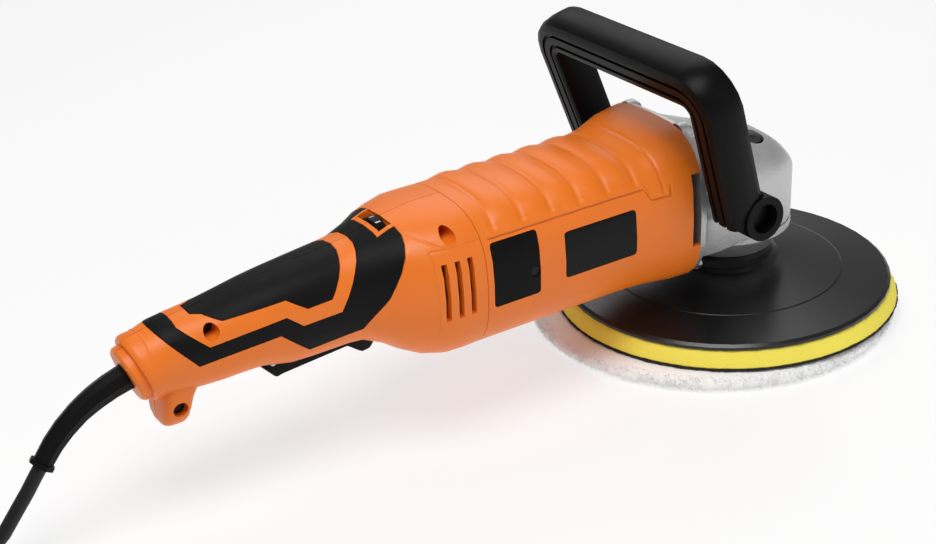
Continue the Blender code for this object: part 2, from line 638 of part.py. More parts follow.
for side, sign in (("right", -1), ("left", 1)):
    name = f"brush_cover_{side}"
    outline = round_rectangle(COVER_CENTRE, COVER_SIZE, 1.5 * MM)
    cover, recess = inlay(name, outline, side, housing_blank, cover_depth, BLACK)
    boolean(housing, recess)
    screw_spot = (COVER_CENTRE[0] + 10 * MM, 0, COVER_CENTRE[1] - 4 * MM)
    face_y = section_at(SHELL_SECTIONS, COVER_CENTRE[0])[1]
    screw_hole = rod(f"{name}_screw_hole", 2.6 * MM, 20 * MM, 60 * MM, axis="Y", place=screw_spot, steps=16,
                     cutter=True)
    screw_hole.scale = (1, 1, sign)
    screw = turned(f"brush_cover_screw_{side}", (
        (0, face_y - 0.5 * MM), (2.2 * MM, face_y - 0.5 * MM), (2.2 * MM, face_y - 3.5 * MM),
        (0, face_y - 3.5 * MM),
    ), STEEL, "Y", screw_spot, 16)
    if sign < 0:
        screw_hole.rotation_euler = (math.pi / 2, 0, 0)
        screw_hole.scale = (1, 1, 1)
        screw.rotation_euler = (math.pi / 2, 0, 0)
    boolean(cover, screw_hole)
    boolean(housing, screw_hole)
    holder_y = (15 * MM, face_y - cover_depth - 2 * FIT)
    window = [(BRUSH_X + sx * (holder_half[0] + FIT), MOTOR_Z + sz * (holder_half[1] + FIT))
              for sx, sz in ((1, 1), (-1, 1), (-1, -1), (1, -1))]
    boolean(housing, prism(f"brush_passage_{side}", window,
                           *sorted((sign * 20 * MM, sign * (face_y - cover_depth - FIT / 2))), cutter=True))
    ends = sorted((sign * holder_y[0], sign * holder_y[1]))
    holder = box(f"brush_holder_{side}", (BRUSH_X - holder_half[0], ends[0], MOTOR_Z - holder_half[1]),
                 (BRUSH_X + holder_half[0], ends[1], MOTOR_Z + holder_half[1]), BRASS)
    boolean(holder, box(f"brush_slot_{side}", (BRUSH_X - brush_half[0] - FIT, ends[0] - MM,
                                               MOTOR_Z - brush_half[1] - FIT),
                        (BRUSH_X + brush_half[0] + FIT, ends[1] + MM, MOTOR_Z + brush_half[1] + FIT),
                        cutter=True))
    ends = sorted((sign * (COMMUTATOR_RADIUS + FIT), sign * 30 * MM))
    box(f"carbon_brush_{side}", (BRUSH_X - brush_half[0], ends[0], MOTOR_Z - brush_half[1]),
        (BRUSH_X + brush_half[0], ends[1], MOTOR_Z + brush_half[1]), CARBON)
label, recess = inlay("rating_plate", round_rectangle(LABEL_CENTRE, LABEL_SIZE, 1.5 * MM), "right",
                      housing_blank,
                      0.6 * MM, BLACK)
boolean(housing, recess)

# Gear case

case_rings = [section_ring([v * MM for v in FLANGE_SECTION[:4]] + [FLANGE_SECTION[4]], HOUSING_FRONT_X + d)
              for d in (FIT, CASE_FLANGE - 2 * MM)]
for row in CASE_SECTIONS:
    case_rings.append(section_ring([v * MM for v in row[1:5]] + [row[5]], row[0] * MM))
tip = CASE_SECTIONS[-1]
for share in (0.25, 0.45, 0.62, 0.76, 0.87, 0.94, 0.98):
    x = CASE_NOSE_RADIUS * share
    round_off = math.sqrt(1 - share ** 2)
    fall = max(0.06, 1 - (x / CASE_DOME_END) ** 2) ** 0.6
    case_rings.append(section_ring((tip[1] * MM, tip[2] * MM * round_off, tip[3] * MM * fall, tip[4] * MM,
                                    tip[5]), x))
case_face_x = HOUSING_FRONT_X + CASE_FLANGE + 0.6 * MM
case = add("gear_case", mesh_of(loft(case_rings), "gear_case"), CAST)
boolean(case, box("case_underside", (case_face_x, -0.1, -0.02), (0.1, 0.1, CASE_BOTTOM_Z), cutter=True))
side_boss = rod("case_side_boss", HANDLE_BOSS_RADIUS, -HANDLE_FACE_Y + FIT, HANDLE_FACE_Y - FIT, axis="Y",
                place=(HANDLE_AXIS[0], 0, HANDLE_AXIS[1]), cutter=True)
boolean(case, side_boss, "UNION")
for number, (y, z) in enumerate(CASE_SCREW_PLACES[:2]):
    boolean(case, rod(f"case_screw_boss_{number}", 5.2 * MM, HOUSING_FRONT_X + MM, case_face_x, axis="X",
                      place=(0, y * MM, MOTOR_Z + z * MM), steps=16, cutter=True), "UNION")
boolean(case, rod("gear_cavity", CASE_CAVITY_RADIUS, CASE_BOTTOM_Z - 20 * MM, MOTOR_Z - 1.5 * MM, steps=32,
                  cutter=True))
boolean(case, rod("bush_pocket", 10 * MM, MOTOR_Z - 12 * MM, SPINDLE_TOP_Z + FIT, cutter=True))
bearing_end = front_bearing[1] + FIT
boolean(case, turned("shaft_bore", (
    (0, -5 * MM), (9.2 * MM, -5 * MM), (9.2 * MM, bearing_end), (14 * MM, bearing_end), (14 * MM, -70 * MM),
    (0, -70 * MM),
), None, "X", motor, 24, cutter=True))
lock_floor_z = 91.5 * MM
lock_place = (*LOCK_PLACE, 0)
recess_radius = LOCK_BUTTON_RADIUS + 0.5 * MM
boolean(case, turned("lock_recess", (
    (0, 0.2), (recess_radius, 0.2), (recess_radius, lock_floor_z), (2.5 * MM + FIT, lock_floor_z),
    (2.5 * MM + FIT, MOTOR_Z - 8 * MM), (0, MOTOR_Z - 8 * MM),
), None, place=lock_place, steps=24, cutter=True))
for side, sign in (("right", -1), ("left", 1)):
    tap = rod(f"bolt_tap_{side}", BOLT_RADIUS + FIT, 31 * MM, 60 * MM, axis="Y",
              place=(HANDLE_AXIS[0], 0, HANDLE_AXIS[1]),
              steps=16, cutter=True)
    if sign < 0:
        tap.rotation_euler = (math.pi / 2, 0, 0)
    boolean(case, tap)
for number, (y, z) in enumerate(CASE_SCREW_PLACES):
    spot = (0, y * MM, MOTOR_Z + z * MM)
    head_x = case_face_x + FIT
    turned(f"gear_case_screw_{number + 1}", (
        (0, head_x + 2.6 * MM), (CASE_SCREW_RADIUS, head_x + 2.2 * MM), (CASE_SCREW_RADIUS, head_x),
        (2 * MM, head_x),
        (2 * MM, HOUSING_FRONT_X + MM), (0, HOUSING_FRONT_X + MM),
    ), STEEL, "X", spot, 16)
    boolean(case, rod(f"case_screw_hole_{number}", 2 * MM + FIT, HOUSING_FRONT_X - MM, head_x + 3 * MM,
                      axis="X",
                      place=spot, steps=12, cutter=True))
    if z < 0:
        continue
    boolean(case, rod(f"case_screw_pocket_{number}", CASE_SCREW_RADIUS + 2 * FIT, head_x - 1.3 * FIT,
                      head_x + 12 * MM,
                      axis="X", place=spot, steps=16, cutter=True))
lock_rest = lock_floor_z + LOCK_TRAVEL + FIT
lock = turned("spindle_lock_button", (
    (0, lock_rest + 3.2 * MM), (LOCK_BUTTON_RADIUS - MM, lock_rest + 3.2 * MM),
    (LOCK_BUTTON_RADIUS, lock_rest + 2.2 * MM),
    (LOCK_BUTTON_RADIUS, lock_rest), (2.5 * MM, lock_rest), (2.5 * MM, WEB_Z + 1.5 * MM),
    (0, WEB_Z + 1.5 * MM),
), BLACK, place=lock_place, steps=24)
carry(pivot("spindle_lock_axis", (*LOCK_PLACE, lock_rest)), lock)

# Rear handle: two half shells with their overmoulds

handle_front = SEAM_X - FIT
neck_xs = table_xs(-328 * MM, handle_front)
handle_outer = shell_solid("handle_outer", neck_xs, 0, count=RING)
def tail_turned(name, profile):
    """A cutter turned about the cord's axis at the tail; heights start at the collar's end."""
    item = turned(name, profile, None, "X", (TAIL_PLACE[0], 0, TAIL_PLACE[1]), cutter=True)
    item.rotation_euler = (0, math.pi / 2 - TAIL_DROP, 0)
    return item


def tail_point(height):
    """A point of the cord's axis at a height above the collar's end."""
    return (TAIL_PLACE[0] + height * math.cos(TAIL_DROP), 0, TAIL_PLACE[1] + height * math.sin(TAIL_DROP))


collar = tail_turned("handle_collar", (
    (0, 22 * MM), (12 * MM, 22 * MM), (SHOULDER_RADIUS - MM, 13 * MM), (SHOULDER_RADIUS, 8 * MM),
    (SHOULDER_RADIUS, COLLAR_LENGTH + 1.6 * MM), (SHOULDER_RADIUS - 0.8 * MM, COLLAR_LENGTH + 0.2 * MM),
    (COLLAR_RADIUS, COLLAR_LENGTH), (COLLAR_RADIUS, 1.2 * MM), (COLLAR_RADIUS - 1.2 * MM, 0), (0, 0),
))
lobe_rings = []
for z, half_width, rear, front in LOBE_ROWS:
    ring = []
    for a in spaced(0, 2 * math.pi, 25)[:-1]:
        c, s = math.cos(a), math.sin(a)
        ring.append((((rear + front) / 2 + (front - rear) / 2 * math.copysign(abs(c) ** 0.55, c)) * MM,
                     half_width * math.copysign(abs(s) ** 0.55, s) * MM, z * MM))
    lobe_rings.append(ring)
lobe = add("handle_lobe", mesh_of(loft(lobe_rings), "handle_lobe"), None, cutter=True)
handle_cavity = shell_solid("handle_cavity", table_xs(-326 * MM, handle_front + 3 * MM, 20 * MM),
                            HANDLE_WALL, count=16)
for number, (x, z) in enumerate(HANDLE_SCREWS):
    boolean(handle_cavity, rod(f"screw_column_{number}", 5.5 * MM, -60 * MM, 60 * MM, axis="Y",
                               place=(x * MM, 0, z * MM),
                               steps=16, cutter=True))
plate_half = MM
switch_x = (-263 * MM, -225 * MM)
for number, x in enumerate(switch_x):
    boolean(handle_cavity, box(f"switch_rib_{number}", (x - plate_half, -0.06, 73 * MM),
                               (x + plate_half, 0.06, 0.2),
                               cutter=True))
boolean(handle_outer, collar, "UNION")
boolean(handle_outer, lobe, "UNION")
handle_blank = {"outer": add("handle_blank", baked(handle_outer), None, cutter=True),
                "xs": table_xs(-335 * MM, SEAM_X)}
groove = (6 * MM, 10 * MM)
bore_radius = BOOT_RADIUS + FIT
flange_radius = BOOT_RADIUS + 2.4 * MM
handle_hollow = add("handle_hollow", handle_blank["outer"].data.copy(), None, cutter=True)
boolean(handle_hollow, handle_cavity)
handle_cuts = [
    tail_turned("boot_bore", (
        (0, 20 * MM), (bore_radius, 20 * MM), (bore_radius, groove[1] + FIT),
        (flange_radius + FIT, groove[1] + FIT),
        (flange_radius + FIT, groove[0] - FIT), (bore_radius, groove[0] - FIT), (bore_radius, -5 * MM),
        (0, -5 * MM),
    )),
    box("trigger_slot", (-279 * MM, -TRIGGER_HALF_WIDTH - 0.6 * MM, 0),
        (-214.5 * MM, TRIGGER_HALF_WIDTH + 0.6 * MM, 68 * MM),
        cutter=True),
    box("dial_window", (DIAL_X - 3.3 * MM, -10.2 * MM, DIAL_Z), (DIAL_X + 3.3 * MM, 10.2 * MM, 0.13),
        cutter=True),
    rod("trigger_pin_bore", 1.5 * MM + FIT, -11 * MM, 11 * MM, axis="Y",
        place=(TRIGGER_PIVOT[0], 0, TRIGGER_PIVOT[1]),
        steps=12, cutter=True),
]
for number, (x, z) in enumerate(HANDLE_SCREWS):
    spot = (x * MM, 0, z * MM)
    handle_cuts.append(rod(f"screw_head_bore_{number}", 3.6 * MM, -60 * MM, -5 * MM, axis="Y", place=spot,
                           cutter=True))
    handle_cuts.append(rod(f"screw_shank_bore_{number}", 1.8 * MM + FIT, -6 * MM, 9 * MM, axis="Y",
                           place=spot, steps=12,
                           cutter=True))
    turned(f"handle_screw_{number + 1}", (
        (0, 8.7 * MM), (1.8 * MM, 8.7 * MM), (1.8 * MM, -5 * MM - FIT), (3.3 * MM, -5 * MM - FIT),
        (3.3 * MM, -8 * MM),
        (0, -8 * MM),
    ), STEEL, "Y", spot, 16)
hollow_mesh = baked(handle_hollow)
for side, low_y, high_y in (("right", -0.1, -FIT / 2), ("left", FIT / 2, 0.1)):
    half = add(f"rear_handle_{side}", hollow_mesh.copy(), ORANGE)
    boolean(half, box(f"half_space_{side}", (-0.4, low_y, 0), (-0.1, high_y, 0.2), cutter=True), "INTERSECT")
    for cut in handle_cuts:
        settle(half)
        boolean(half, cut)
    for number, x in enumerate(VENT_XS):
        near, far = (-60, -26.3) if side == "right" else (26.3, 60)
        boolean(half, box(f"vent_{side}_{number}", (x * MM - VENT_WIDTH / 2, near * MM, VENT_Z[0]),
                          (x * MM + VENT_WIDTH / 2, far * MM, VENT_Z[1]), cutter=True))
    settle(half)
    dial_pads = [box(f"dial_pad_{side}_{k}", (-214.5 * MM + k * FIT, -12.5 * MM + k * FIT, 0.09),
                     (-200 * MM, 12.5 * MM - k * FIT, 0.14), cutter=True) for k in range(2)]
    for name, outline in (("palm_grip", PALM_OUTLINE), ("grip_band", BAND_OUTLINE)):
        piece, recess = inlay(f"{name}_{side}", in_metres(outline), side, handle_blank, OVERMOULD, RUBBER)
        if name == "grip_band":
            boolean(piece, dial_pads[0])
            boolean(recess, dial_pads[1])
        boolean(half, recess)
        settle(half)

# Trigger, switch, speed control and dial

trigger = prism("trigger", in_metres(TRIGGER_OUTLINE), -TRIGGER_HALF_WIDTH, TRIGGER_HALF_WIDTH, BLACK)
bevel = trigger.modifiers.new("edges", "BEVEL")
bevel.width = 1.2 * MM
bevel.segments = 2
bevel.limit_method = "ANGLE"
pin_place = (TRIGGER_PIVOT[0], 0, TRIGGER_PIVOT[1])
boolean(trigger, rod("trigger_pin_hole", 1.5 * MM + FIT, -20 * MM, 20 * MM, axis="Y", place=pin_place,
                     steps=12, cutter=True))
rod("trigger_pin", 1.5 * MM, -10.5 * MM, 10.5 * MM, STEEL, "Y", pin_place, 12)
carry(pivot("trigger_pivot", pin_place), trigger)
box("switch_body", (switch_x[0] + plate_half + FIT, -11 * MM, 74.5 * MM),
    (switch_x[1] - plate_half - FIT, 11 * MM, 95 * MM),
    BLACK, edge=1 * MM)
module_x = (switch_x[1] + plate_half + FIT, DIAL_X - DIAL_THICKNESS / 2 - FIT)
module = box("speed_control_module", (module_x[0], -5 * MM, 80 * MM), (module_x[1], 5 * MM, 103.3 * MM),
             BLACK, edge=0.8 * MM)
axle_radius = 1.5 * MM
dial_place = (0, 0, DIAL_Z)
boolean(module, rod("dial_axle_bore", axle_radius + FIT, module_x[1] - 5 * MM, module_x[1] + MM, axis="X",
                    place=dial_place,
                    steps=12, cutter=True))
dial = turned("speed_dial", (
    (0, DIAL_X + DIAL_THICKNESS / 2), (DIAL_RADIUS - 0.6 * MM, DIAL_X + DIAL_THICKNESS / 2),
    (DIAL_RADIUS, DIAL_X + DIAL_THICKNESS / 2 - 0.6 * MM),
    (DIAL_RADIUS, DIAL_X - DIAL_THICKNESS / 2 + 0.6 * MM),
    (DIAL_RADIUS - 0.6 * MM, DIAL_X - DIAL_THICKNESS / 2), (axle_radius, DIAL_X - DIAL_THICKNESS / 2),
    (axle_radius, module_x[1] - 4 * MM), (0, module_x[1] - 4 * MM),
), BLACK, "X", dial_place, 24)
carry(pivot("speed_dial_axis", (DIAL_X, 0, DIAL_Z)), dial)

# D-handle: one sweep from boss to boss, with a bored boss at each foot

LEAN = math.atan2(HANDLE_AXIS[0] - 7 * MM - HANDLE_BAR[0], HANDLE_BAR[1] - HANDLE_AXIS[1])
CORNER_RADIUS = 13 * MM


def handle_path():
    """Points (along the bar, up the arm) of the half from the middle of the bar to the foot."""
    height = math.hypot(HANDLE_BAR[0] - HANDLE_AXIS[0] + 7 * MM, HANDLE_BAR[1] - HANDLE_AXIS[1])
    points = [(0, height), (HANDLE_HALF_SPAN * 0.35, height)]
    for k in range(6):
        angle = math.pi / 2 * k / 5
        points.append((HANDLE_HALF_SPAN - CORNER_RADIUS + CORNER_RADIUS * math.sin(angle),
                       height - CORNER_RADIUS + CORNER_RADIUS * math.cos(angle)))
    for share in (0.3, 0.6, 0.85, 1.0):
        top = height - CORNER_RADIUS
        points.append((HANDLE_HALF_SPAN + (HANDLE_FOOT_SPAN - HANDLE_HALF_SPAN) * share, top * (1 - share)))
    return points


def handle_section():
    """Points (out of the D, forward) round the bar: a soft rectangle with two grooves in its rear face."""
    t, d = HANDLE_THICKNESS, HANDLE_DEPTH
    points = [(-t + 3.4 * MM, d), (t - 4 * MM, d), (t - 1.2 * MM, d - 1.2 * MM), (t, d - 4 * MM),
              (t + 0.5 * MM, 0),
              (t, -d + 4 * MM), (t - 1.2 * MM, -d + 1.2 * MM), (t - 4 * MM, -d)]
    for middle in HANDLE_GROOVES:
        points += [(middle + 0.9 * MM, -d), (middle + 0.6 * MM, -d + GROOVE_DEPTH),
                   (middle - 0.6 * MM, -d + GROOVE_DEPTH), (middle - 0.9 * MM, -d)]
    return points + [(-t + 2 * MM, -d), (-t + 0.6 * MM, -d + 0.7 * MM), (-t, -d + 2.4 * MM),
                     (-t, d - 3.4 * MM),
                     (-t + MM, d - MM)]


def handle_rings():
    half = handle_path()
    path = [(-u, v) for u, v in reversed(half[1:])] + half
    rings = []
    along = Vector((-math.sin(LEAN), 0, math.cos(LEAN)))
    across = Vector((math.cos(LEAN), 0, math.sin(LEAN)))
    foot = Vector((HANDLE_AXIS[0] - 7 * MM, 0, HANDLE_AXIS[1]))
    for i, (u, v) in enumerate(path):
        ahead = path[min(i + 1, len(path) - 1)]
        behind = path[max(i - 1, 0)]
        run = Vector((ahead[0] - behind[0], ahead[1] - behind[1])).normalized()
        normal = Vector((0, -run.y, 0)) + along * run.x
        centre = foot + Vector((0, u, 0)) + along * v
        rings.append([tuple(centre + normal * out + across * forward) for out, forward in handle_section()])
    return rings


handle = add("d_handle", mesh_of(loft(handle_rings()), "d_handle"), BLACK)
handle_spot = (HANDLE_AXIS[0], 0, HANDLE_AXIS[1])
counterbore_y = HANDLE_BOSS_END_Y - 12 * MM
for side, sign in (("right", -1), ("left", 1)):
    spin = (math.pi / 2, 0, 0) if sign < 0 else (-math.pi / 2, 0, 0)
    boss = rod(f"handle_boss_{side}", HANDLE_BOSS_RADIUS, HANDLE_FACE_Y, HANDLE_BOSS_END_Y, axis="Y",
               place=handle_spot,
               steps=32, cutter=True)
    through = rod(f"handle_bore_{side}", BOLT_RADIUS + FIT, 40 * MM, 80 * MM, axis="Y", place=handle_spot,
                  steps=24,
                  cutter=True)
    counter = rod(f"handle_counterbore_{side}", BOLT_HEAD_RADIUS + MM, counterbore_y, 90 * MM, axis="Y",
                  place=handle_spot,
                  steps=24, cutter=True)
    bolt = turned(f"d_handle_bolt_{side}", (
        (0, counterbore_y + 6 * MM), (BOLT_HEAD_RADIUS, counterbore_y + 6 * MM),
        (BOLT_HEAD_RADIUS, counterbore_y + FIT),
        (BOLT_RADIUS, counterbore_y + FIT), (BOLT_RADIUS, 33 * MM), (0, 33 * MM),
    ), STEEL, "Y", handle_spot, 24)
    for item in (boss, through, counter, bolt):
        item.rotation_euler = spin
    heel = prism(f"handle_heel_{side}", in_metres(HEEL_OUTLINE),
                 *sorted((sign * (HANDLE_FACE_Y - 2 * MM),
                          sign * (HANDLE_FOOT_SPAN + HANDLE_THICKNESS - 0.4 * MM))),
                 cutter=True)
    boolean(handle, heel, "UNION")
    boolean(handle, boss, "UNION")
    boolean(handle, box(f"handle_face_{side}", *((-0.1, -HANDLE_FACE_Y, 0.05),
                                                 (0.02, 0, 0.12)) if sign < 0 else
                        ((-0.1, 0, 0.05), (0.02, HANDLE_FACE_Y, 0.12)), cutter=True))
    boolean(handle, through)
    boolean(handle, counter)
    carry(pivot(f"d_handle_pivot_{side}", handle_spot), bolt)
carry(pivot("d_handle_pivot", handle_spot), handle)


# Cord: boot, free stretch, coil, tie and plug

def tube(name, points, radius, material, radii=None, resolution=2):
    """A round tube along a polyline."""
    curve = bpy.data.curves.new(name, "CURVE")
    curve.dimensions = "3D"
    curve.bevel_depth = radius
    curve.bevel_resolution = resolution
    curve.use_fill_caps = True
    spline = curve.splines.new("POLY")
    spline.points.add(len(points) - 1)
    for k, point in enumerate(points):
        spline.points[k].co = (*point, 1)
        spline.points[k].radius = radii[k] / radius if radii else 1
    curve.materials.append(material)
    item = bpy.data.objects.new(name, curve)
    PARTS.objects.link(item)
    return item


def smooth_path(points, spacing):
    """Points along a smooth curve through the given ones, by centripetal-free cubic steps."""
    route = [Vector(p) for p in points]
    route = [route[0] * 2 - route[1]] + route + [route[-1] * 2 - route[-2]]
    dense = []
    for a, b, c, d in zip(route, route[1:], route[2:], route[3:]):
        count = max(1, round((c - b).length / spacing))
        for k in range(count):
            t = k / count
            dense.append(0.5 * (2 * b + (c - a) * t + (2 * a - 5 * b + 4 * c - d) * t * t
                                + (3 * b - a - 3 * c + d) * t ** 3))
    return dense + [route[-2]]


BOOT_ROUTE = (
    (-336.5, 73.9), (-343.5, 72), (-350.3, 69.4), (-359, 64.9), (-366.2, 59.6), (-372.2, 53.9),
    (-377.6, 47.2),
)  # mm, x and z
boot_points = [tail_point(h) for h in (14 * MM, groove[1], groove[1] - 0.2 * MM, groove[0] + 0.2 * MM,
                                       groove[0])]
boot_radii = [BOOT_RADIUS, BOOT_RADIUS, flange_radius, flange_radius, BOOT_RADIUS]
bend = smooth_path([(x * MM, 0, z * MM) for x, z in BOOT_ROUTE], 6 * MM)
for k, point in enumerate(bend):
    boot_points.append(tuple(point))
    boot_radii.append(BOOT_RADIUS - (BOOT_RADIUS - BOOT_END_RADIUS) * k / (len(bend) - 1))
last = (bend[-1] - bend[-2]).normalized()
for step in (0.3, 2.3):
    boot_points.append(tuple(bend[-1] + last * step * MM))
    boot_radii.append(BOOT_END_RADIUS + 1.2 * MM)
tube("cord_boot", boot_points, BOOT_RADIUS, BLACK, boot_radii, resolution=2)

CORD_ROUTE = ((-386.8, 35.4), (-392.5, 28.6), (-400, 19.5), (-411, 10.2), (-426, 5.4),
              (-446, 4.6))  # mm, x and z
exit_point = bend[-1] + last * 2.6 * MM
coil_entry = Vector((COIL_CENTRE[0], COIL_CENTRE[1] + COIL_OUTER, COIL_BASE_Z + CORD_RADIUS))
lead = coil_entry + Vector((CORD_RADIUS * 2, 0, 0))
cord_points = smooth_path([exit_point, exit_point + last * 5 * MM]
                          + [Vector((x * MM, 0, z * MM)) for x, z in CORD_ROUTE]
                          + [lead + Vector((15 * MM, 0, 0)), lead], 14 * MM)
tube("power_cord", [tuple(p) for p in cord_points], CORD_RADIUS, BLACK, resolution=1)


def coil_points():
    """Loops that spiral in on the lower layer, climb in half a turn, and spiral out on the upper one."""
    low_z = COIL_BASE_Z + CORD_RADIUS
    turns_in = COIL_TURNS * 2 * math.pi
    climb = math.pi
    total = 2 * turns_in + climb
    count = round(total / (2 * math.pi) * 20)
    points = []
    for k in range(count + 1):
        angle = total * k / count
        past = max(0.0, angle - turns_in)
        inward = min(angle, turns_in) + min(past, climb - past)
        rise = min(1.0, max(0.0, (angle - turns_in) / climb))
        radius = COIL_OUTER - COIL_PITCH * inward / (2 * math.pi)
        points.append(Vector((COIL_CENTRE[0] - radius * math.sin(angle),
                              COIL_CENTRE[1] + radius * math.cos(angle),
                              low_z + COIL_PITCH * rise * rise * (3 - 2 * rise))))
    return points


loops = coil_points()
start = coil_entry + Vector((CORD_RADIUS * 2 - FIT, 0, 0))
away = (loops[-1] - loops[-2]).normalized()
PLUG_LEAD = 42 * MM
PLUG_Z = 15 * MM
lead_end = loops[-1] + Vector((away.x, away.y, 0)).normalized() * PLUG_LEAD
lead_end.z = PLUG_Z
half_way = (loops[-1] + lead_end) / 2 + Vector((0, 0, 0.6 * MM))
coil_route = [start] + loops + [half_way, lead_end]
tube("power_cord_coil", [tuple(p) for p in coil_route], CORD_RADIUS, BLACK, resolution=1)
gaps = [(loops[i] - loops[j]).length - 2 * CORD_RADIUS for i in range(len(loops)) for j in range(i + 15,
        len(loops))]
print(f"coil: least gap to itself {min(gaps) / MM:.2f} mm")
length = sum((b - a).length for a, b in zip(coil_route, coil_route[1:]))
length += sum((b - a).length for a, b in zip(cord_points, cord_points[1:]))
print(f"cord length from boot to plug {length:.3f} m")

TIE_THICKNESS = 0.9 * MM
tie_angle = math.radians(200)
tie_gap = 0.35 * MM
inner_radius = COIL_OUTER - (COIL_TURNS + 0.25) * COIL_PITCH
tie_low = (inner_radius - CORD_RADIUS - tie_gap - 1.2 * MM, COIL_BASE_Z - tie_gap)
tie_high = (COIL_OUTER + CORD_RADIUS + tie_gap + 1.2 * MM,
            COIL_BASE_Z + COIL_PITCH + 2 * CORD_RADIUS + tie_gap)
tie_half_width = 4 * MM
tie = box("cord_tie", (tie_low[0] - TIE_THICKNESS, -tie_half_width, tie_low[1] - TIE_THICKNESS),
          (tie_high[0] + TIE_THICKNESS, tie_half_width, tie_high[1] + TIE_THICKNESS), RUBBER)
tie_window = box("tie_window", (tie_low[0], -0.02, tie_low[1]), (tie_high[0], 0.02, tie_high[1]), cutter=True)
tie_turn = Matrix.Translation((*COIL_CENTRE, 0)) @ Matrix.Rotation(tie_angle, 4, "Z")
for item in (tie, tie_window):
    item.matrix_world = tie_turn
boolean(tie, tie_window)

PLUG_LENGTH = 42 * MM
plug = turned("mains_plug", (
    (0, PLUG_LENGTH), (12 * MM, PLUG_LENGTH), (13.5 * MM, PLUG_LENGTH - 2 * MM),
    (13.5 * MM, PLUG_LENGTH - 14 * MM),
    (10.5 * MM, PLUG_LENGTH - 20 * MM), (8.5 * MM, PLUG_LENGTH - 30 * MM), (6.5 * MM, 2 * MM), (6 * MM, 0),
    (0, 0),
), BLACK, steps=24)
heading = (lead_end - half_way).normalized()
flat_heading = Vector((heading.x, heading.y, 0)).normalized()
plug_frame = Matrix.Translation(lead_end + flat_heading * 0.5 * MM) @ flat_heading.to_track_quat("Z",
        "Y").to_matrix().to_4x4()
plug.matrix_world = plug_frame
for number, offset in enumerate((-9.5, 9.5)):
    prong = rod(f"plug_pin_{number}", 2.4 * MM, PLUG_LENGTH - 4 * MM, PLUG_LENGTH + 19 * MM, steps=12,
                cutter=True)
    prong.matrix_world = plug_frame @ Matrix.Translation((offset * MM, 0, 0))
    boolean(plug, prong, "UNION")
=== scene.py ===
# %% [markdown]
# # A rotary polisher, dressed for its portrait
#
# The CAD model brings every hard piece in place, in metres, with the spindle's axis on Z and the wool
# on the floor. This lesson adds what CAD leaves out: the lead, the wool, the foam, the surfaces of
# the plastics and metals, and the studio. Each step says what the piece is and why it is made that way.

import bpy
import numpy as np
from mathutils import Matrix, Vector


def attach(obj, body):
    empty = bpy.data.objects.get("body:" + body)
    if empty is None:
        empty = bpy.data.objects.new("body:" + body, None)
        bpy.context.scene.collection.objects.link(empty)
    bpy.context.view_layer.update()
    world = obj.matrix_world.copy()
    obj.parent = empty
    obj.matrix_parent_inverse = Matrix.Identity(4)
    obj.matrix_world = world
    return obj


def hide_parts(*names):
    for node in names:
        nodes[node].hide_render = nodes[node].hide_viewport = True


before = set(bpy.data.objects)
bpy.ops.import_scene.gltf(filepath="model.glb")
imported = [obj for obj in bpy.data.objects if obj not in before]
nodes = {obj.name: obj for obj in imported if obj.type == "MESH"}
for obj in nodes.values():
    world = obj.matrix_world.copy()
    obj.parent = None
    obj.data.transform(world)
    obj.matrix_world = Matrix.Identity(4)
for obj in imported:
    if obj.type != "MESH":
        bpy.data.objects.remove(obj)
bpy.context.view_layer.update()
rng = np.random.default_rng(7)
MM = 0.001
MACHINE, SPINDLE = "machine", "spindle_unit"

# %% [markdown]
# ## Camera
# The lens was solved from the photograph: the pad's ellipse gives the tilt, the handle's bar gives the
# turn, and the pad's width gives the distance. The camera could be aimed at a point, but a solved lens
# already has its three axes, so those are set directly.

# %% Camera
IMAGE_WIDTH = 936
FOCAL_PX = 1766.33
CAMERA_RIGHT = (0.83864, -0.54206, -0.05339)
CAMERA_UP = (0.28259, 0.34921, 0.89342)
CAMERA_BACK = (-0.46564, -0.76435, 0.44604)
CAMERA_EYE = (-0.55380, -0.64611, 0.44599)
lens = bpy.data.cameras.new("camera")
lens.sensor_width = 36
lens.lens = FOCAL_PX / IMAGE_WIDTH * lens.sensor_width
lens.clip_start = 0.01
camera = bpy.data.objects.new("camera", lens)
turn = Matrix((CAMERA_RIGHT, CAMERA_UP, CAMERA_BACK)).transposed().to_4x4()
camera.matrix_world = Matrix.Translation(CAMERA_EYE) @ turn
bpy.context.scene.collection.objects.link(camera)
bpy.context.scene.camera = camera
print(f"camera with a {lens.lens:.1f} mm lens")

# %% [markdown]
# ## Lead
# A round rubber lead leaves the boot, sinks to the floor and runs out of the picture to a tied coil.
# It could be drawn as two tubes, as the CAD does, but a real lead has no joint, so one curve follows
# the same route from the boot to the plug.

# %% Route of the lead
CORD_RADIUS = 3.2 * MM
COIL_CENTRE = np.array([-490, -59]) * MM
COIL_OUTER, COIL_PITCH, COIL_TURNS, COIL_STEPS = 59 * MM, 7.2 * MM, 3, 40
COIL_Z = 1.3 * MM + CORD_RADIUS
PLUG_Z, PLUG_LEAD, BOOT_LIP = 15 * MM, 42 * MM, 2.6 * MM
BOOT_ROUTE = (
    (-336.5, 73.9), (-343.5, 72), (-350.3, 69.4), (-359, 64.9),
    (-366.2, 59.6), (-372.2, 53.9), (-377.6, 47.2),
)
FREE_ROUTE = ((-386.8, 35.4), (-392.5, 28.6), (-400, 19.5), (-411, 10.2), (-426, 5.4), (-446, 4.6))


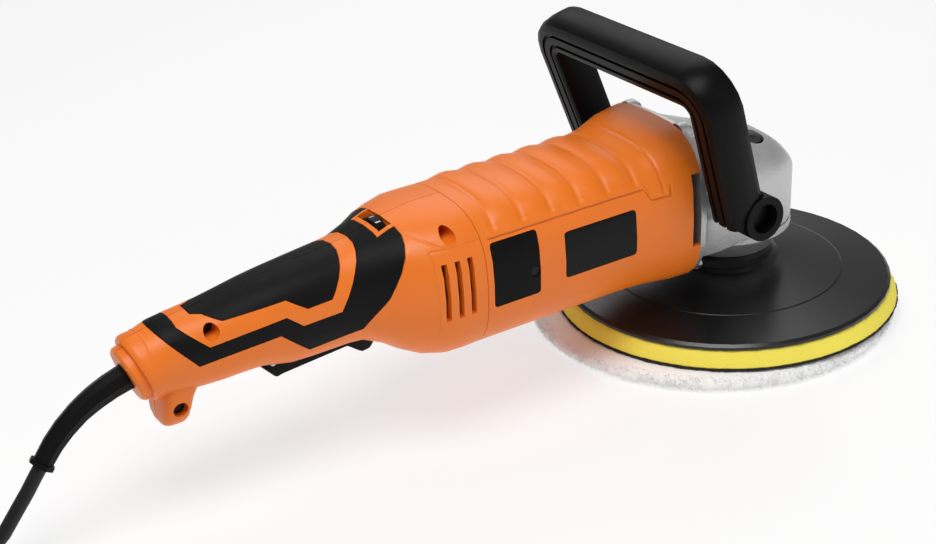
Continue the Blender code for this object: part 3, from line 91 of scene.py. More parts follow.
def smooth_path(points, spacing):
    """Cubic through points: each span bends by the points beside it, cut to about one spacing."""
    points = np.asarray(points, float)
    points = np.vstack([2 * points[0] - points[1], points, 2 * points[-1] - points[-2]])
    pieces = []
    for a, b, c, d in zip(points, points[1:], points[2:], points[3:]):
        t = np.arange(max(1, round(np.linalg.norm(c - b) / spacing)))[:, None]
        t = t / len(t)
        bent = 2 * b + (c - a) * t + (2 * a - 5 * b + 4 * c - d) * t**2 + (3 * b - a - 3 * c + d) * t**3
        pieces.append(bent / 2)
    return np.vstack(pieces + [points[-2:-1]])


def side_points(route):
    """Side-view millimetres as points on the machine's middle plane."""
    route = np.asarray(route, float) * MM
    return np.column_stack([route[:, 0], np.zeros(len(route)), route[:, 1]])


def coil_path():
    """Turns that spiral in on the floor, one pitch a turn, climb half a turn and spiral out above."""
    inward, climb = COIL_TURNS * 2 * np.pi, np.pi
    angle = np.linspace(0, 2 * inward + climb, round((2 * COIL_TURNS + 0.5) * COIL_STEPS) + 1)
    past = np.maximum(0, angle - inward)
    wound = np.minimum(angle, inward) + np.minimum(past, climb - past)
    radius = COIL_OUTER - COIL_PITCH * wound / (2 * np.pi)
    rise = np.clip(past / climb, 0, 1)
    return np.column_stack([
        COIL_CENTRE[0] - radius * np.sin(angle),
        COIL_CENTRE[1] + radius * np.cos(angle),
        COIL_Z + COIL_PITCH * rise**2 * (3 - 2 * rise),
    ])


print(f"coil of {2 * COIL_TURNS + 0.5} turns, the widest {2 * COIL_OUTER / MM:.0f} mm across its middle line")

# %% Lead
BOOT_SPACING, LEAD_SPACING = 6 * MM, 14 * MM
STRAIGHT_OUT, COIL_APPROACH, PLUG_HUMP = 5 * MM, 15 * MM, 0.6 * MM
boot = smooth_path(side_points(BOOT_ROUTE), BOOT_SPACING)
heading = boot[-1] - boot[-2]
heading /= np.linalg.norm(heading)
cord_exit = boot[-1] + heading * BOOT_LIP
turns = coil_path()
lead_in = np.array([COIL_CENTRE[0] + 2 * CORD_RADIUS, COIL_CENTRE[1] + COIL_OUTER, COIL_Z])
leaving = [cord_exit, cord_exit + heading * STRAIGHT_OUT]
arriving = [lead_in + [COIL_APPROACH, 0, 0], lead_in]
free = smooth_path(np.vstack([leaving, side_points(FREE_ROUTE), arriving]), LEAD_SPACING)
away = turns[-1] - turns[-2]
away[2] = 0
lead_end = turns[-1] + away / np.linalg.norm(away) * PLUG_LEAD
lead_end[2] = PLUG_Z
half_way = (turns[-1] + lead_end) / 2 + [0, 0, PLUG_HUMP]
route = np.vstack([free, turns, half_way, lead_end])
line = bpy.data.curves.new("power_lead", "CURVE")
line.dimensions = "3D"
line.bevel_depth = 1.0  # times each point's own radius, so that the curve's box is as small as the lead
line.bevel_resolution = 5
line.use_fill_caps = True
spline = line.splines.new("POLY")
spline.points.add(len(route) - 1)
spline.points.foreach_set("co", np.column_stack([route, np.ones(len(route))]).ravel())
spline.points.foreach_set("radius", np.full(len(route), CORD_RADIUS))
spline.use_smooth = True
lead = bpy.data.objects.new("power_lead", line)
bpy.context.scene.collection.objects.link(lead)
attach(lead, MACHINE)
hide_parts("power_cord", "power_cord_coil")

# %% [markdown]
# ## Surfaces
# The machine is moulded plastic, soft rubber, a blasted casting and bare or blackened steel. Flat
# colours would do for a diagram, but each real surface has a grain. So each is a Principled shader with
# two noises: a broad one that shifts roughness a little, as handling does, and a fine one that gives
# the grain of a mould or a casting. Object coordinates keep the grain fixed to the piece.

# %% Surface kit
HANDLING_SCALE, HANDLING_DETAIL, GRAIN_DETAIL, GRAIN_HEIGHT = 38, 4, 2, 0.4 * MM


def surface(name, colour, roughness, metallic=0.0, grain=900.0, depth=0.08, vary=0.08, gloss=0.5, tint=0.06):
    """A shader whose roughness and colour drift with a broad noise and whose normal follows a fine one."""
    made = bpy.data.materials.new(name)
    made.use_nodes = True
    tree = made.node_tree
    link = tree.links.new
    shader = tree.nodes["Principled BSDF"]
    place = tree.nodes.new("ShaderNodeTexCoord")
    broad = tree.nodes.new("ShaderNodeTexNoise")
    broad.inputs["Scale"].default_value = HANDLING_SCALE
    broad.inputs["Detail"].default_value = HANDLING_DETAIL
    fine = tree.nodes.new("ShaderNodeTexNoise")
    fine.inputs["Scale"].default_value = grain
    fine.inputs["Detail"].default_value = GRAIN_DETAIL
    for noise in (broad, fine):
        link(place.outputs["Object"], noise.inputs["Vector"])
    shift = tree.nodes.new("ShaderNodeMapRange")
    shift.inputs["To Min"].default_value = roughness - vary
    shift.inputs["To Max"].default_value = roughness + vary
    link(broad.outputs["Fac"], shift.inputs["Value"])
    link(shift.outputs["Result"], shader.inputs["Roughness"])
    mix = tree.nodes.new("ShaderNodeMix")
    mix.data_type = "RGBA"
    mix.inputs["A"].default_value = (*(c * (1 - tint) for c in colour), 1)
    mix.inputs["B"].default_value = (*(min(1, c * (1 + tint)) for c in colour), 1)
    link(broad.outputs["Fac"], mix.inputs["Factor"])
    link(mix.outputs["Result"], shader.inputs["Base Color"])
    bump = tree.nodes.new("ShaderNodeBump")
    bump.inputs["Strength"].default_value = depth
    bump.inputs["Distance"].default_value = GRAIN_HEIGHT
    link(fine.outputs["Fac"], bump.inputs["Height"])
    link(bump.outputs["Normal"], shader.inputs["Normal"])
    shader.inputs["Metallic"].default_value = metallic
    shader.inputs["Specular IOR Level"].default_value = gloss
    return made


print("surface kit ready")

# %% Finishes
ORANGE = surface("orange_moulding", (0.84, 0.185, 0.012), 0.4, grain=1500, depth=0.12, gloss=0.4)
RUBBER = surface("black_overmould", (0.004, 0.004, 0.004), 0.5, grain=1800, depth=0.2, gloss=0.12)
BLACK = surface("black_moulding", (0.003, 0.003, 0.0032), 0.36, grain=1500, depth=0.12, gloss=0.09)
PLATE = surface("backing_moulding", (0.006, 0.006, 0.0062), 0.3, grain=1200, depth=0.04, gloss=0.45)
GLOSS = surface("label_film", (0.003, 0.003, 0.003), 0.3, grain=600, depth=0.02, gloss=0.15)
CAST = surface("blasted_casting", (0.58, 0.58, 0.585), 0.42, 0.8, grain=900, depth=0.6, tint=0.2)
STEEL = surface("machined_steel", (0.42, 0.42, 0.43), 0.32, 1.0, grain=500, depth=0.1)
DARK_STEEL = surface("blackened_steel", (0.018, 0.018, 0.019), 0.4, 0.9, grain=500, depth=0.1)
COPPER = surface("copper", (0.72, 0.33, 0.16), 0.3, 1.0, grain=400, depth=0.1)
IRON = surface("laminated_iron", (0.2, 0.2, 0.21), 0.5, 1.0, grain=700, depth=0.2)
SHEATH = surface("cord_sheath", (0.008, 0.008, 0.008), 0.5, grain=700, depth=0.15, gloss=0.35)
lead.data.materials.append(SHEATH)

FINISH = {
    ORANGE: ("motor_housing", "rear_handle_right", "rear_handle_left"),
    RUBBER: ("palm_grip_right", "palm_grip_left", "grip_band_right", "grip_band_left", "cord_boot",
             "cord_tie"),
    BLACK: ("d_handle", "trigger", "speed_dial", "spindle_lock_button", "brush_cover_right",
            "brush_cover_left", "switch_body", "speed_control_module", "cooling_fan", "mains_plug"),
    PLATE: ("backing_plate",),
    GLOSS: ("rating_plate",),
    CAST: ("gear_case", "bearing_retainer"),
    STEEL: ("spindle", "lower_spindle_bearing", "front_armature_bearing", "rear_armature_bearing",
            "crown_gear", "pinion_gear", "armature_shaft", "trigger_pin", "gear_case_screw_1",
            "gear_case_screw_2", "gear_case_screw_3", "gear_case_screw_4"),
    DARK_STEEL: ("d_handle_bolt_right", "d_handle_bolt_left", "brush_cover_screw_right",
                 "brush_cover_screw_left", "handle_screw_1", "handle_screw_2", "handle_screw_3",
                 "carbon_brush_right", "carbon_brush_left"),
    COPPER: ("commutator", "brush_holder_right", "brush_holder_left", "upper_spindle_bush"),
    IRON: ("armature_core", "stator"),
}
print(f"{len(FINISH)} finishes")

# %% [markdown]
# ## Dressing the CAD pieces
# A CAD mesh is loose triangles with flat shading. It could be remeshed, but its sizes must stay, so
# modifiers weld the corners and split the true edges again, and the rest is shaded smooth. The bevel on
# the plate's rim turns by only thirty degrees, so the plate gets a smaller angle, or that edge would blur.

# %% Dressing
EDGE_ANGLE, PLATE_ANGLE = 38, 12
WELD_DISTANCE = 0.02 * MM


def dress(node, material, angle):
    """Paint a CAD node and shade it smooth: corners are welded, and edges over an angle are split again."""
    mesh = node.data
    if "custom_normal" in mesh.attributes:
        mesh.attributes.remove(mesh.attributes["custom_normal"])
    mesh.polygons.foreach_set("use_smooth", np.ones(len(mesh.polygons), bool))
    weld = node.modifiers.new("weld", "WELD")
    weld.merge_threshold = WELD_DISTANCE
    split = node.modifiers.new("edges", "EDGE_SPLIT")
    split.split_angle = np.radians(angle)
    split.use_edge_sharp = False
    mesh.materials.clear()
    mesh.materials.append(material)


for material, names in FINISH.items():
    for name in names:
        dress(nodes[name], material, PLATE_ANGLE if material is PLATE else EDGE_ANGLE)
print(f"{sum(map(len, FINISH.values()))} CAD nodes dressed in {len(FINISH)} surfaces")

# %% [markdown]
# ## Ribs of the motor housing
# Over the motor the shell has grip ribs that end above a stepped line on each side. The CAD gives the
# waves; the thin creases between them are too fine for its mesh. They could be cut into a denser
# shell, but they are drawn into the shell's surface as height instead, worked out from the place of
# each point.


# %% Fields
class Field:
    """A number at every point of a surface; sums, products and steps of fields become shader nodes."""

    def __init__(self, tree, socket):
        self.tree, self.socket = tree, socket

    def math(self, operation, other=None):
        """One operation on this field, alone or with a number or another field."""
        node = self.tree.nodes.new("ShaderNodeMath")
        node.operation = operation
        self.tree.links.new(self.socket, node.inputs[0])
        if isinstance(other, Field):
            self.tree.links.new(other.socket, node.inputs[1])
        elif other is not None:
            node.inputs[1].default_value = other
        return Field(self.tree, node.outputs[0])

    def __add__(self, other):
        return self.math("ADD", other)

    def __sub__(self, other):
        return self.math("SUBTRACT", other)

    def __mul__(self, other):
        return self.math("MULTIPLY", other)

    def bell(self, width):
        """One at zero, falling to nothing within about two widths."""
        scaled = self * (1 / width)
        return (scaled * scaled * -1).math("EXPONENT")

    def ramp(self, low, high):
        """Nothing below low, one above high, smooth between."""
        node = self.tree.nodes.new("ShaderNodeMapRange")
        node.interpolation_type = "SMOOTHSTEP"
        node.inputs["From Min"].default_value = low
        node.inputs["From Max"].default_value = high
        self.tree.links.new(self.socket, node.inputs["Value"])
        return Field(self.tree, node.outputs["Result"])


print("fields can be added, multiplied, belled and ramped")


# %% Relief
def place_fields(material):
    """The three coordinates of a point of the piece, in millimetres."""
    tree = material.node_tree
    coordinates = tree.nodes.new("ShaderNodeTexCoord")
    parts = tree.nodes.new("ShaderNodeSeparateXYZ")
    tree.links.new(coordinates.outputs["Object"], parts.inputs[0])
    return [Field(tree, parts.outputs[k]) * (1 / MM) for k in range(3)]


def emboss(material, height):
    """Lay a height in millimetres under the material's fine grain."""
    tree = material.node_tree
    bump = tree.nodes.new("ShaderNodeBump")
    bump.inputs["Strength"].default_value = 1
    bump.inputs["Distance"].default_value = MM
    tree.links.new(height.socket, bump.inputs["Height"])
    grain = tree.nodes["Bump"]
    tree.links.new(bump.outputs["Normal"], grain.inputs["Normal"])


print("relief is laid in millimetres")

# %% Ribs
STEP_Z, STEP_DROP, DROP_FROM, DROP_TO = 101.6, 5.5, -82, -78  # mm: the line's height, and where it sinks
CREASE_WIDTH, CREASE_DEPTH, LINE_WIDTH, LINE_DEPTH = 1.7, 0.55, 0.5, 0.2
END_WIDTH, END_DEPTH, SHOULDER_WIDTH, SHOULDER_DEPTH = 0.6, 0.4, 0.9, 0.35
RIB_LEAN, RIB_SHIFT = 0.0009, 11  # a rib leans back by the square of its height
RIB_LINES = (-164, -148, -132, -116, -100, -84)
RIBBED = ORANGE.copy()
RIBBED.name = "ribbed_orange_moulding"
x, y, z = place_fields(RIBBED)
lean_x = x - (z * z * RIB_LEAN - RIB_SHIFT)
each_crease = [(lean_x - crease).bell(CREASE_WIDTH) for crease in RIB_LINES]
creases = sum(each_crease[1:], each_crease[0])
step_line = z - (x.ramp(DROP_FROM, DROP_TO) * -STEP_DROP + STEP_Z)
inside = x.ramp(-171, -169.5) * (x * -1).ramp(66, 67)
ribbed = step_line.ramp(0.8, 4) * inside * (x * -1).ramp(74, 78)
step_end = (x + 67).bell(END_WIDTH) * z.ramp(95.5, 96.5) * (z * -1).ramp(-101.5, -100.5)
step = step_line.bell(LINE_WIDTH) * inside * -LINE_DEPTH - step_end * END_DEPTH
height = creases * -CREASE_DEPTH * ribbed + step
shoulder = (x + 69 + z * 0.02).bell(SHOULDER_WIDTH) * z.ramp(96, 100)
emboss(RIBBED, height - shoulder * SHOULDER_DEPTH)
nodes["motor_housing"].data.materials[0] = RIBBED
print(f"{len(RIB_LINES)} creases between the ribs")

# %% [markdown]
# ## Panel lines and the plate's crease
# A fine line marks the top and the rear end of the panel with the air slots, and another the neck of
# the rear shell. The backing plate has a low step at the crease of its cone, which turns by only three
# degrees. They could be cut as grooves, but they are as thin as a scratch, so they are relief too.

# %% Panel lines
PANEL_WIDTH, NECK_WIDTH, PANEL_DEPTH, PLATE_STEP = 0.5, 1.2, 0.28, 0.45
HANDLE_ORANGE = ORANGE.copy()
HANDLE_ORANGE.name = "handle_orange_moulding"
x, y, z = place_fields(HANDLE_ORANGE)
panel_top = (z - 102.6).bell(PANEL_WIDTH) * x.ramp(-199.2, -198.6)
panel_end = (x + 199).bell(PANEL_WIDTH) * z.ramp(62, 66) * (z * -1).ramp(-102.8, -102.2)
neck = (x + z * 1.74 + 12.9).bell(NECK_WIDTH) * z.ramp(103, 104.5)
emboss(HANDLE_ORANGE, (panel_top + panel_end + neck) * -PANEL_DEPTH)
for name in ("rear_handle_right", "rear_handle_left"):
    nodes[name].data.materials[0] = HANDLE_ORANGE
x, y, z = place_fields(PLATE)
ring_radius = (x * x + y * y).math("SQRT")
emboss(PLATE, ring_radius.ramp(60.2, 61.4) * -PLATE_STEP)
print("panel lines on two shells and a step on the plate")

# %% [markdown]
# ## Wool pad
# A lambswool disc with a dense pile that stands out round its edge. A displaced solid alone would
# look like plaster, so a lumpy turned body carries thousands of short curved fibres at the rim, where
# the picture shows them against the light. A few helpers turn arrays into closed meshes first.


# %% Mesh kit
def mesh_piece(name, points, faces, material):
    """A smooth mesh object from arrays of points and faces."""
    made = bpy.data.meshes.new(name)
    points = np.asarray(points, np.float32)
    faces = np.asarray(faces, np.int32)
    made.vertices.add(len(points))
    made.vertices.foreach_set("co", points.ravel())
    made.loops.add(faces.size)
    made.loops.foreach_set("vertex_index", faces.ravel())
    made.polygons.add(len(faces))
    made.polygons.foreach_set("loop_start", np.arange(len(faces), dtype=np.int32) * faces.shape[1])
    made.update(calc_edges=True)
    made.polygons.foreach_set("use_smooth", np.ones(len(faces), bool))
    made.materials.append(material)
    item = bpy.data.objects.new(name, made)
    bpy.context.scene.collection.objects.link(item)
    return item


def grid_faces(rows, columns, wrap=True):
    """Quads of a grid of points, whose columns close into a ring if they wrap."""
    r, c = np.meshgrid(np.arange(rows - 1), np.arange(columns if wrap else columns - 1), indexing="ij")
    n = (c + 1) % columns
    return np.column_stack([(r * columns + c).ravel(), (r * columns + n).ravel(),
                            ((r + 1) * columns + n).ravel(), ((r + 1) * columns + c).ravel()])


def close_poles(item):
    """Merge the points that a grid repeats where a ring shrinks to one point."""
    item.modifiers.new("poles", "WELD").merge_threshold = 0.01 * MM


def thicken(item, depth):
    """Give a sheet a back face, a depth below it."""
    wall = item.modifiers.new("wall", "SOLIDIFY")
    wall.thickness = depth
    wall.offset = -1


def ripple(angle, counts, height):
    """A sum of sines round a ring, one for each count of waves, with a random phase."""
    phases = rng.uniform(0, 6.28, len(counts))
    return sum(height * np.sin(count * angle + phase) for count, phase in zip(counts, phases))


def turned(name, outline, counts, height, soft_from, material, place=(0, 0, 0), steps=360):
    """An outline of radius and height carried round Z; rings past soft_from add a ripple to their radius."""
    outline = np.asarray(outline) * MM
    angle = np.linspace(0, 2 * np.pi, steps, endpoint=False)
    ring = outline[:, :1] + ripple(angle, counts, height)[None] * (outline[:, :1] > soft_from)
    points = np.stack([ring * np.cos(angle), ring * np.sin(angle), np.repeat(outline[:, 1:], steps, 1)], -1)
    item = mesh_piece(name, points.reshape(-1, 3) + place, grid_faces(len(outline), steps)[:, ::-1], material)
    close_poles(item)
    return item


print("mesh kit ready")

# %% Wool body
WOOL_THICKNESS = 8.7 * MM
WOOL_CENTRE = np.array([-6.8, 4.4, 0]) * MM
WOOL_OUTLINE = (
    (0, 8.6), (60, 8.6), (88, 8.4), (93, 7.6), (95.6, 5.4), (95.5, 2.6), (93, 0.7), (88, 0.1), (0, 0.1),
)
WOOL = surface("lambswool", (0.97, 0.97, 0.965), 0.95, grain=420, depth=0.3, vary=0.03, gloss=0.1, tint=0.03)
pile_look = WOOL.node_tree.nodes["Principled BSDF"].inputs
pile_look["Sheen Weight"].default_value = 0.8
pile_look["Sheen Roughness"].default_value = 0.6
wool = turned("wool_body", WOOL_OUTLINE, (7, 13, 29, 47, 83), 0.28 * MM, 80 * MM, WOOL, WOOL_CENTRE)
print(f"wool body of {len(wool.data.vertices)} points")

# %% Wool pile
HALF_WAY_WIDTH = 0.62


def fibres(roots, directions, lengths, radius, droop, sides=3):
    """Closed spikes: a ring at the root, a slimmer one half-way and a tip, sinking as the way squared."""
    t = np.array([0, 0.5, 1])
    centre = roots[:, None] + directions[:, None] * (lengths[:, None] * t)[..., None]
    centre[..., 2] -= droop[:, None] * t**2
    across = np.cross(directions, [0, 0, 1.0])
    across /= np.linalg.norm(across, axis=1, keepdims=True) + 1e-9
    up = np.cross(across, directions)
    spin = np.linspace(0, 2 * np.pi, sides, endpoint=False)
    offset = across[:, None] * np.cos(spin)[None, :, None] + up[:, None] * np.sin(spin)[None, :, None]
    width = radius * np.array([1, HALF_WAY_WIDTH])
    rings = centre[:, :2, None] + offset[:, None] * width[None, :, None, None]
    points = np.concatenate([rings.reshape(len(roots), -1, 3), centre[:, 2:]], 1)
    k = np.arange(sides)
    n = (k + 1) % sides
    lower, upper = np.column_stack([k, sides + n, n]), np.column_stack([k, sides + k, sides + n])
    tip = np.column_stack([sides + k, np.full(sides, 2 * sides), sides + n])
    faces = np.concatenate([lower, upper, tip, k[None, :3]])
    faces = faces[None] + (np.arange(len(roots)) * points.shape[1])[:, None, None]
    return points.reshape(-1, 3), faces.reshape(-1, 3)


FIBRE_COUNT = 15000
FIBRE_RADIUS, FIBRE_REACH, FIBRE_DROOP = 0.09 * MM, (0.8, 2.6), 0.4
FIBRE_LEAN, FIBRE_FAN = 0.4, 0.9
ROOT_BAND = 0.44  # how far roots go from the middle, as a share of the thickness
RIM_RADIUS, RIM_BULGE, LOWEST, HIGHEST = 90.5 * MM, 4.8 * MM, 0.05 * MM, 8.75 * MM
ROOM_SPARE, LEAST_SLOPE = 0.2 * MM, 0.05
turn_at = rng.uniform(0, 2 * np.pi, FIBRE_COUNT)
height = rng.beta(1.2, 1.2, FIBRE_COUNT) * 2 - 1
lean = rng.normal(0, FIBRE_LEAN, (FIBRE_COUNT, 3))
edge = RIM_RADIUS + RIM_BULGE * np.sqrt(np.maximum(0, 1 - height**2))
root_z = WOOL_THICKNESS * (0.5 + ROOT_BAND * height)
roots = np.column_stack([edge * np.cos(turn_at), edge * np.sin(turn_at), root_z])
out = np.column_stack([np.cos(turn_at), np.sin(turn_at), height * FIBRE_FAN]) + lean
out /= np.linalg.norm(out, axis=1, keepdims=True)
reach = rng.uniform(*FIBRE_REACH, FIBRE_COUNT) * MM
room = np.where(out[:, 2] > 0, WOOL_THICKNESS - root_z + ROOM_SPARE, root_z - ROOM_SPARE)
reach = np.minimum(reach, room / np.maximum(np.abs(out[:, 2]), LEAST_SLOPE))
points, faces = fibres(roots, out, reach, FIBRE_RADIUS, rng.uniform(0, FIBRE_DROOP, FIBRE_COUNT) * MM)
points[:, 2] = np.clip(points[:, 2], LOWEST, HIGHEST)
pile = mesh_piece("wool_pile", points + WOOL_CENTRE, faces, WOOL)
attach(wool, SPINDLE)
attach(pile, SPINDLE)
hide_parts("wool_pad")
print(f"{FIBRE_COUNT} fibres in the pile")

# %% [markdown]
# ## Foam and hook cloth
# The yellow foam is cut on a slant, and its cells show as a fine pitted skin. The thin cloth below it
# grips the wool; only its black edge shows. Plain cylinders would look cut from metal, so both are
# turned from an outline whose edge wavers a little, as cut foam and cloth do.

# %% Foam and hook cloth
FOAM = surface("foam_cells", (0.93, 0.79, 0.10), 0.9, grain=900, depth=0.6, vary=0.04)
HOOK = surface("hook_cloth", (0.012, 0.012, 0.012), 0.95, grain=1600, depth=0.6, vary=0.03)
FOAM_OUTLINE = (
    (0, 18.0), (84.8, 18.0), (85.5, 17.6), (87.6, 14), (89.6, 10.8), (89.7, 10.2), (89, 10.0), (0, 10.0),
)
HOOK_OUTLINE = ((0, 9.9), (90.0, 9.9), (90.4, 9.4), (90.0, 8.8), (0, 8.8))
foam = turned("foam_pad", FOAM_OUTLINE, (5, 17, 41, 97), 0.06 * MM, 50 * MM, FOAM)
hook = turned("hook_cloth", HOOK_OUTLINE, (31, 67, 151), 0.12 * MM, 50 * MM, HOOK)
for piece, node, slot in ((foam, "foam_layer", "foam"), (hook, "hook_layer", "hook_fabric")):
    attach(piece, SPINDLE)
    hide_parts(node)
print("foam and hook cloth in place")

# %% [markdown]
# ## Soft grips without a seam
# The two shells meet on the middle plane, but the soft grip is moulded over both and shows no seam.
# The grips could be joined in the CAD, but then the shells could not be parted, so a thin strip of
# the same rubber bridges the gap along the top line of the palm grip.

# %% Grip bridge
SEAM_REACH, TOP_FROM, STATION_REACH = 0.4 * MM, 90 * MM, 0.00002
BRIDGE_SIDES = np.array([-0.75, -0.25, 0.25, 0.75]) * MM
BRIDGE_LIFT = np.array([-0.02, 0.05, 0.05, -0.02]) * MM
BRIDGE_DEPTH = 0.3 * MM


def node_points(name):
    """The CAD node's points, in metres."""
    mesh = nodes[name].data
    points = np.empty(len(mesh.vertices) * 3, np.float32)
    mesh.vertices.foreach_get("co", points)
    return points.reshape(-1, 3)


def bridge(name, node, low_x, high_x, material):
    """A strip one and a half millimetres wide on the highest points beside the seam, a hair above them."""
    points = node_points(node)
    near = points[(np.abs(points[:, 1]) < SEAM_REACH) & (points[:, 2] > TOP_FROM)]
    near = near[(near[:, 0] > low_x) & (near[:, 0] < high_x)]
    xs = np.unique(np.round(near[:, 0], 5))
    tops = np.where(np.abs(near[:, 0] - xs[:, None]) < STATION_REACH, near[:, 2], -np.inf).max(1)
    grid = np.stack(np.broadcast_arrays(xs[:, None], BRIDGE_SIDES, tops[:, None] + BRIDGE_LIFT), -1)
    faces = grid_faces(len(xs), len(BRIDGE_SIDES), wrap=False)[:, ::-1]
    item = mesh_piece(name, grid.reshape(-1, 3), faces, material)
    thicken(item, BRIDGE_DEPTH)
    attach(item, MACHINE)
    print(f"{name}: {len(xs)} stations from {xs[0]:.3f} to {xs[-1]:.3f} m")


bridge("palm_bridge", "palm_grip_right", -0.3047, -0.2313, RUBBER)

# %% [markdown]
# ## Step of the motor housing
# The ribbed top of the shell stands a little proud of its smooth side, along a line that drops near
# the front. It could be only a line in the shader, but a real edge also shows in profile, so a thin
# wedge follows the wall: full height at the line, flush with the ribs a few millimetres above.

# %% Wall of a piece
HAIR, EDGE_ON = 1e-6, 1e-12


def smooth(value):
    """Nothing below nought, one above one, and a cubic between."""
    value = np.clip(value, 0, 1)
    return value * value * (3 - 2 * value)


def wall_y(name, x, z):
    """The least y at which a line along y through each (x, z) meets the node's triangles."""
    mesh = nodes[name].data
    corner = np.empty(len(mesh.loops), np.int32)
    mesh.loops.foreach_get("vertex_index", corner)
    a, b, c = np.moveaxis(node_points(name)[corner.reshape(-1, 3)].astype(float), 1, 0)
    q = np.stack([x.ravel(), z.ravel()], -1)[:, None] - a[None, :, ::2]
    p, r = (b - a)[None, :, ::2], (c - a)[None, :, ::2]
    area = p[..., 0] * r[..., 1] - p[..., 1] * r[..., 0]
    area = np.where(np.abs(area) < EDGE_ON, np.inf, area)
    u = (q[..., 0] * r[..., 1] - q[..., 1] * r[..., 0]) / area
    v = (p[..., 0] * q[..., 1] - p[..., 1] * q[..., 0]) / area
    on = (u > -HAIR) & (v > -HAIR) & (u + v < 1 + HAIR) & np.isfinite(area)
    y = a[None, :, 1] + u * (b - a)[None, :, 1] + v * (c - a)[None, :, 1]
    return np.where(on, y, np.inf).min(1).reshape(x.shape)


print("walls can be measured along y")

# %% Step wedge
STEP_ROWS = np.array([  # above the line, and out from the wall; the last row closes the wedge inside it
    (-0.05, -0.5), (0, 0.4), (0.8, 0.42), (2.2, 0.26), (3.6, 0.05), (4.4, -0.3), (2.2, -0.9),
]) * MM
STEP_FROM, STEP_TO, STEP_FADE, STEP_SUNK = -170 * MM, -67.2 * MM, 1.2 * MM, 0.5 * MM
STEP_STATIONS = 260
along_step = np.linspace(STEP_FROM, STEP_TO, STEP_STATIONS)
step_z = (STEP_Z - STEP_DROP * smooth((along_step / MM - DROP_FROM) / (DROP_TO - DROP_FROM))) * MM
step_x, row_z = np.broadcast_arrays(along_step[:, None], step_z[:, None] + STEP_ROWS[:, 0])
wall = np.stack([step_x, wall_y("motor_housing", step_x, row_z), row_z], -1)
up = np.gradient(wall[:, 1:6], axis=1)
normal = np.cross(up, np.gradient(wall[:, 1:6], axis=0))
normal = normal / np.linalg.norm(normal, axis=-1, keepdims=True)
normal = normal * -np.sign(normal[..., 1:2])
normal = np.concatenate([normal[:, :1], normal, normal[:, 2:3]], 1)
fade = smooth((along_step - STEP_FROM) / STEP_FADE) * smooth((STEP_TO - along_step) / STEP_FADE)
lift = STEP_ROWS[:, 1] * fade[:, None] - STEP_SUNK * (1 - fade[:, None])
ledge = wall + normal * lift[..., None]
ledge[[0, -1]] = ledge[[0, -1]].mean(1, keepdims=True)
ring = grid_faces(len(ledge), len(STEP_ROWS))
for name, side in (("housing_step_right", 1), ("housing_step_left", -1)):
    outward = ring[:, ::-1] if side > 0 else ring
    step_piece = mesh_piece(name, ledge.reshape(-1, 3) * [1, side, 1], outward, RIBBED)
    close_poles(step_piece)
    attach(step_piece, MACHINE)
print(f"step of {len(ledge)} stations on each side")

# %% [markdown]
# ## Painted shade behind the air slots
# Air enters through three slots on each side. The inside of the shell lies in shade, and without something
# behind the slots one looks straight through both sides, so a dark sheet stands there as painted shade. It
# could be a flat plate, but a sheet that follows the wall a little way inside it fits the round shell.

# %% Painted shade sheet behind the air slots
SHADE_SHEET_X, SHADE_SHEET_Z = (-198 * MM, -177.5 * MM), (66.5 * MM, 99.5 * MM)
SHADE_SHEET_INSET, SHADE_SHEET_DEPTH, SHADE_SHEET_POINTS = 4.2 * MM, 0.4 * MM, (42, 34)
SLOT_REACH = 5  # points each way, together wider than a slot
shade_sheet_x, shade_sheet_z = np.meshgrid(
    np.linspace(*SHADE_SHEET_X, SHADE_SHEET_POINTS[0]), np.linspace(*SHADE_SHEET_Z, SHADE_SHEET_POINTS[1]), indexing="ij",
)
outer = wall_y("rear_handle_right", shade_sheet_x, shade_sheet_z)
outer = np.pad(outer, ((SLOT_REACH, SLOT_REACH), (0, 0)), mode="edge")
outer = np.lib.stride_tricks.sliding_window_view(outer, 2 * SLOT_REACH + 1, axis=0).min(-1)
sheet = np.stack([shade_sheet_x, outer + SHADE_SHEET_INSET, shade_sheet_z], -1)
cells = grid_faces(*shade_sheet_x.shape, wrap=False)
# a black sheet behind each row of slots: painted shade for the dark inside of the shell
for name, side in (("shade_sheet_right", 1), ("shade_sheet_left", -1)):
    outward = cells[:, ::-1] if side > 0 else cells
    shade_sheet = mesh_piece(name, sheet.reshape(-1, 3) * [1, side, 1], outward, BLACK)
    thicken(shade_sheet, SHADE_SHEET_DEPTH)
    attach(shade_sheet, MACHINE)
print(f"gauze {-sheet[..., 1].max() / MM:.1f} to {-sheet[..., 1].min() / MM:.1f} mm from the middle")

# %% [markdown]
# ## Dial marks
# The speed dial shows a few pale strokes through its window. They could be painted by the shader, but
# a stroke that turns with the dial is plainer as a thin curved patch just above its rim.

# %% Dial marks
DIAL_PLACE, DIAL_RADIUS = np.array([-208.8, 0, 101]) * MM, 11 * MM
MARK_COUNT, MARK_LENGTH, MARK_HALF_ANGLE = 12, 2.6 * MM, 0.035
FIRST_MARK, MARK_PROUD, MARK_DEPTH = 0.16, 0.04 * MM, 0.1 * MM
PALE = surface("pale_print", (0.7, 0.7, 0.68), 0.5, grain=900, depth=0.05)
turns_of_marks = np.arange(MARK_COUNT) * 2 * np.pi / MARK_COUNT + FIRST_MARK
around = turns_of_marks[:, None] + np.array([-1, -1, 1, 1]) * MARK_HALF_ANGLE
along = np.array([-0.5, 0.5, 0.5, -0.5]) * MARK_LENGTH
rim = DIAL_RADIUS + MARK_PROUD
corners = np.stack(np.broadcast_arrays(along, rim * np.sin(around), rim * np.cos(around)), -1) + DIAL_PLACE
marks = mesh_piece("dial_marks", corners.reshape(-1, 3), np.arange(MARK_COUNT * 4).reshape(-1, 4), PALE)
thicken(marks, MARK_DEPTH)
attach(marks, "speed_dial_unit")
print(f"{MARK_COUNT} marks on the dial")

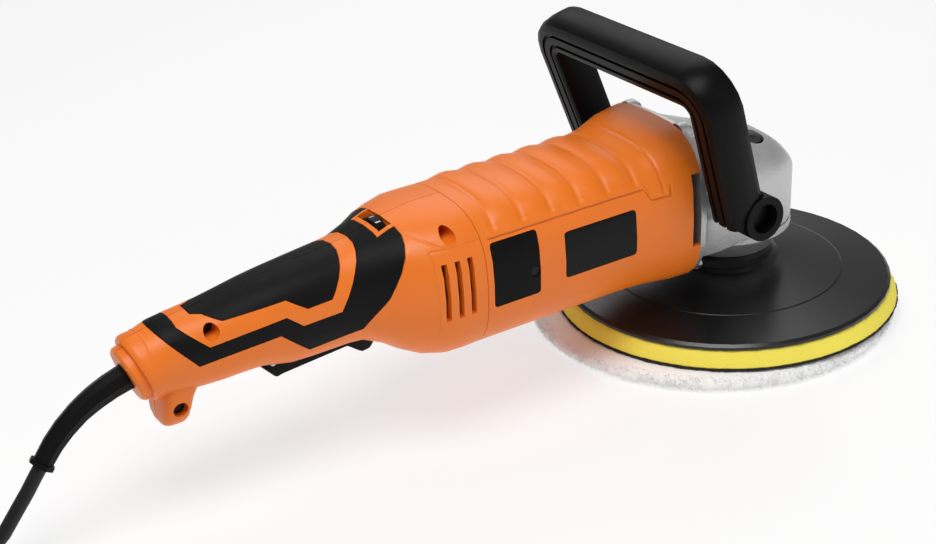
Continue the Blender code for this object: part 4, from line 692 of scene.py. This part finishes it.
# %% [markdown]
# ## Studio
# The picture is a cut-out on white, lit softly from above. A backdrop could be painted, but a wide
# pale floor that glows a little keeps the shadow faint from every side, and three large soft lamps and
# a dim world give the long highlights along the barrel.


# %% Studio
def lamp(name, place, aim, size, power):
    """A square soft light that looks at a point."""
    light = bpy.data.lights.new(name, "AREA")
    light.shape = "SQUARE"
    light.size = size
    light.energy = power
    item = bpy.data.objects.new(name, light)
    item.location = place
    item.rotation_euler = (Vector(aim) - Vector(place)).to_track_quat("-Z", "Y").to_euler()
    bpy.context.scene.collection.objects.link(item)


MIDDLE = (-0.15, 0, 0.08)
SKY_STRENGTH, FLOOR_GREY, FLOOR_GLOW, FLOOR_HALF = 0.27, 0.35, 0.62, 30.0
lamp("key_lamp", (-0.5, -0.45, 1.6), MIDDLE, 0.9, 19)
lamp("fill_lamp", (0.5, -1.3, 0.7), MIDDLE, 1.1, 2)
lamp("rim_lamp", (0.5, 0.9, 1.1), MIDDLE, 1.0, 5)
scene = bpy.context.scene
scene.world = bpy.data.worlds.new("studio")
scene.world.use_nodes = True
sky = scene.world.node_tree.nodes["Background"].inputs
sky["Color"].default_value = (1, 1, 1, 1)
sky["Strength"].default_value = SKY_STRENGTH
ground = bpy.data.materials.new("white_floor")
ground.use_nodes = True
paint = ground.node_tree.nodes["Principled BSDF"].inputs
paint["Base Color"].default_value = (FLOOR_GREY, FLOOR_GREY, FLOOR_GREY, 1)
paint["Roughness"].default_value = 0.9
paint["Emission Color"].default_value = (1, 1, 1, 1)
paint["Emission Strength"].default_value = FLOOR_GLOW
floor_corners = np.array([(-1, -1, 0), (1, -1, 0), (1, 1, 0), (-1, 1, 0)]) * FLOOR_HALF
floor = mesh_piece("floor", floor_corners, [(0, 1, 2, 3)], ground)
scene.view_settings.view_transform = "Standard"
scene.view_settings.look = "None"
scene.view_settings.exposure = 0.0
print("studio lit")

# %% [markdown]
# ## Up to date
# The dressed model must keep the CAD model's box. The view layer is brought up to date at the end,
# because a new piece has no box until then.

# %% Update
bpy.context.view_layer.update()
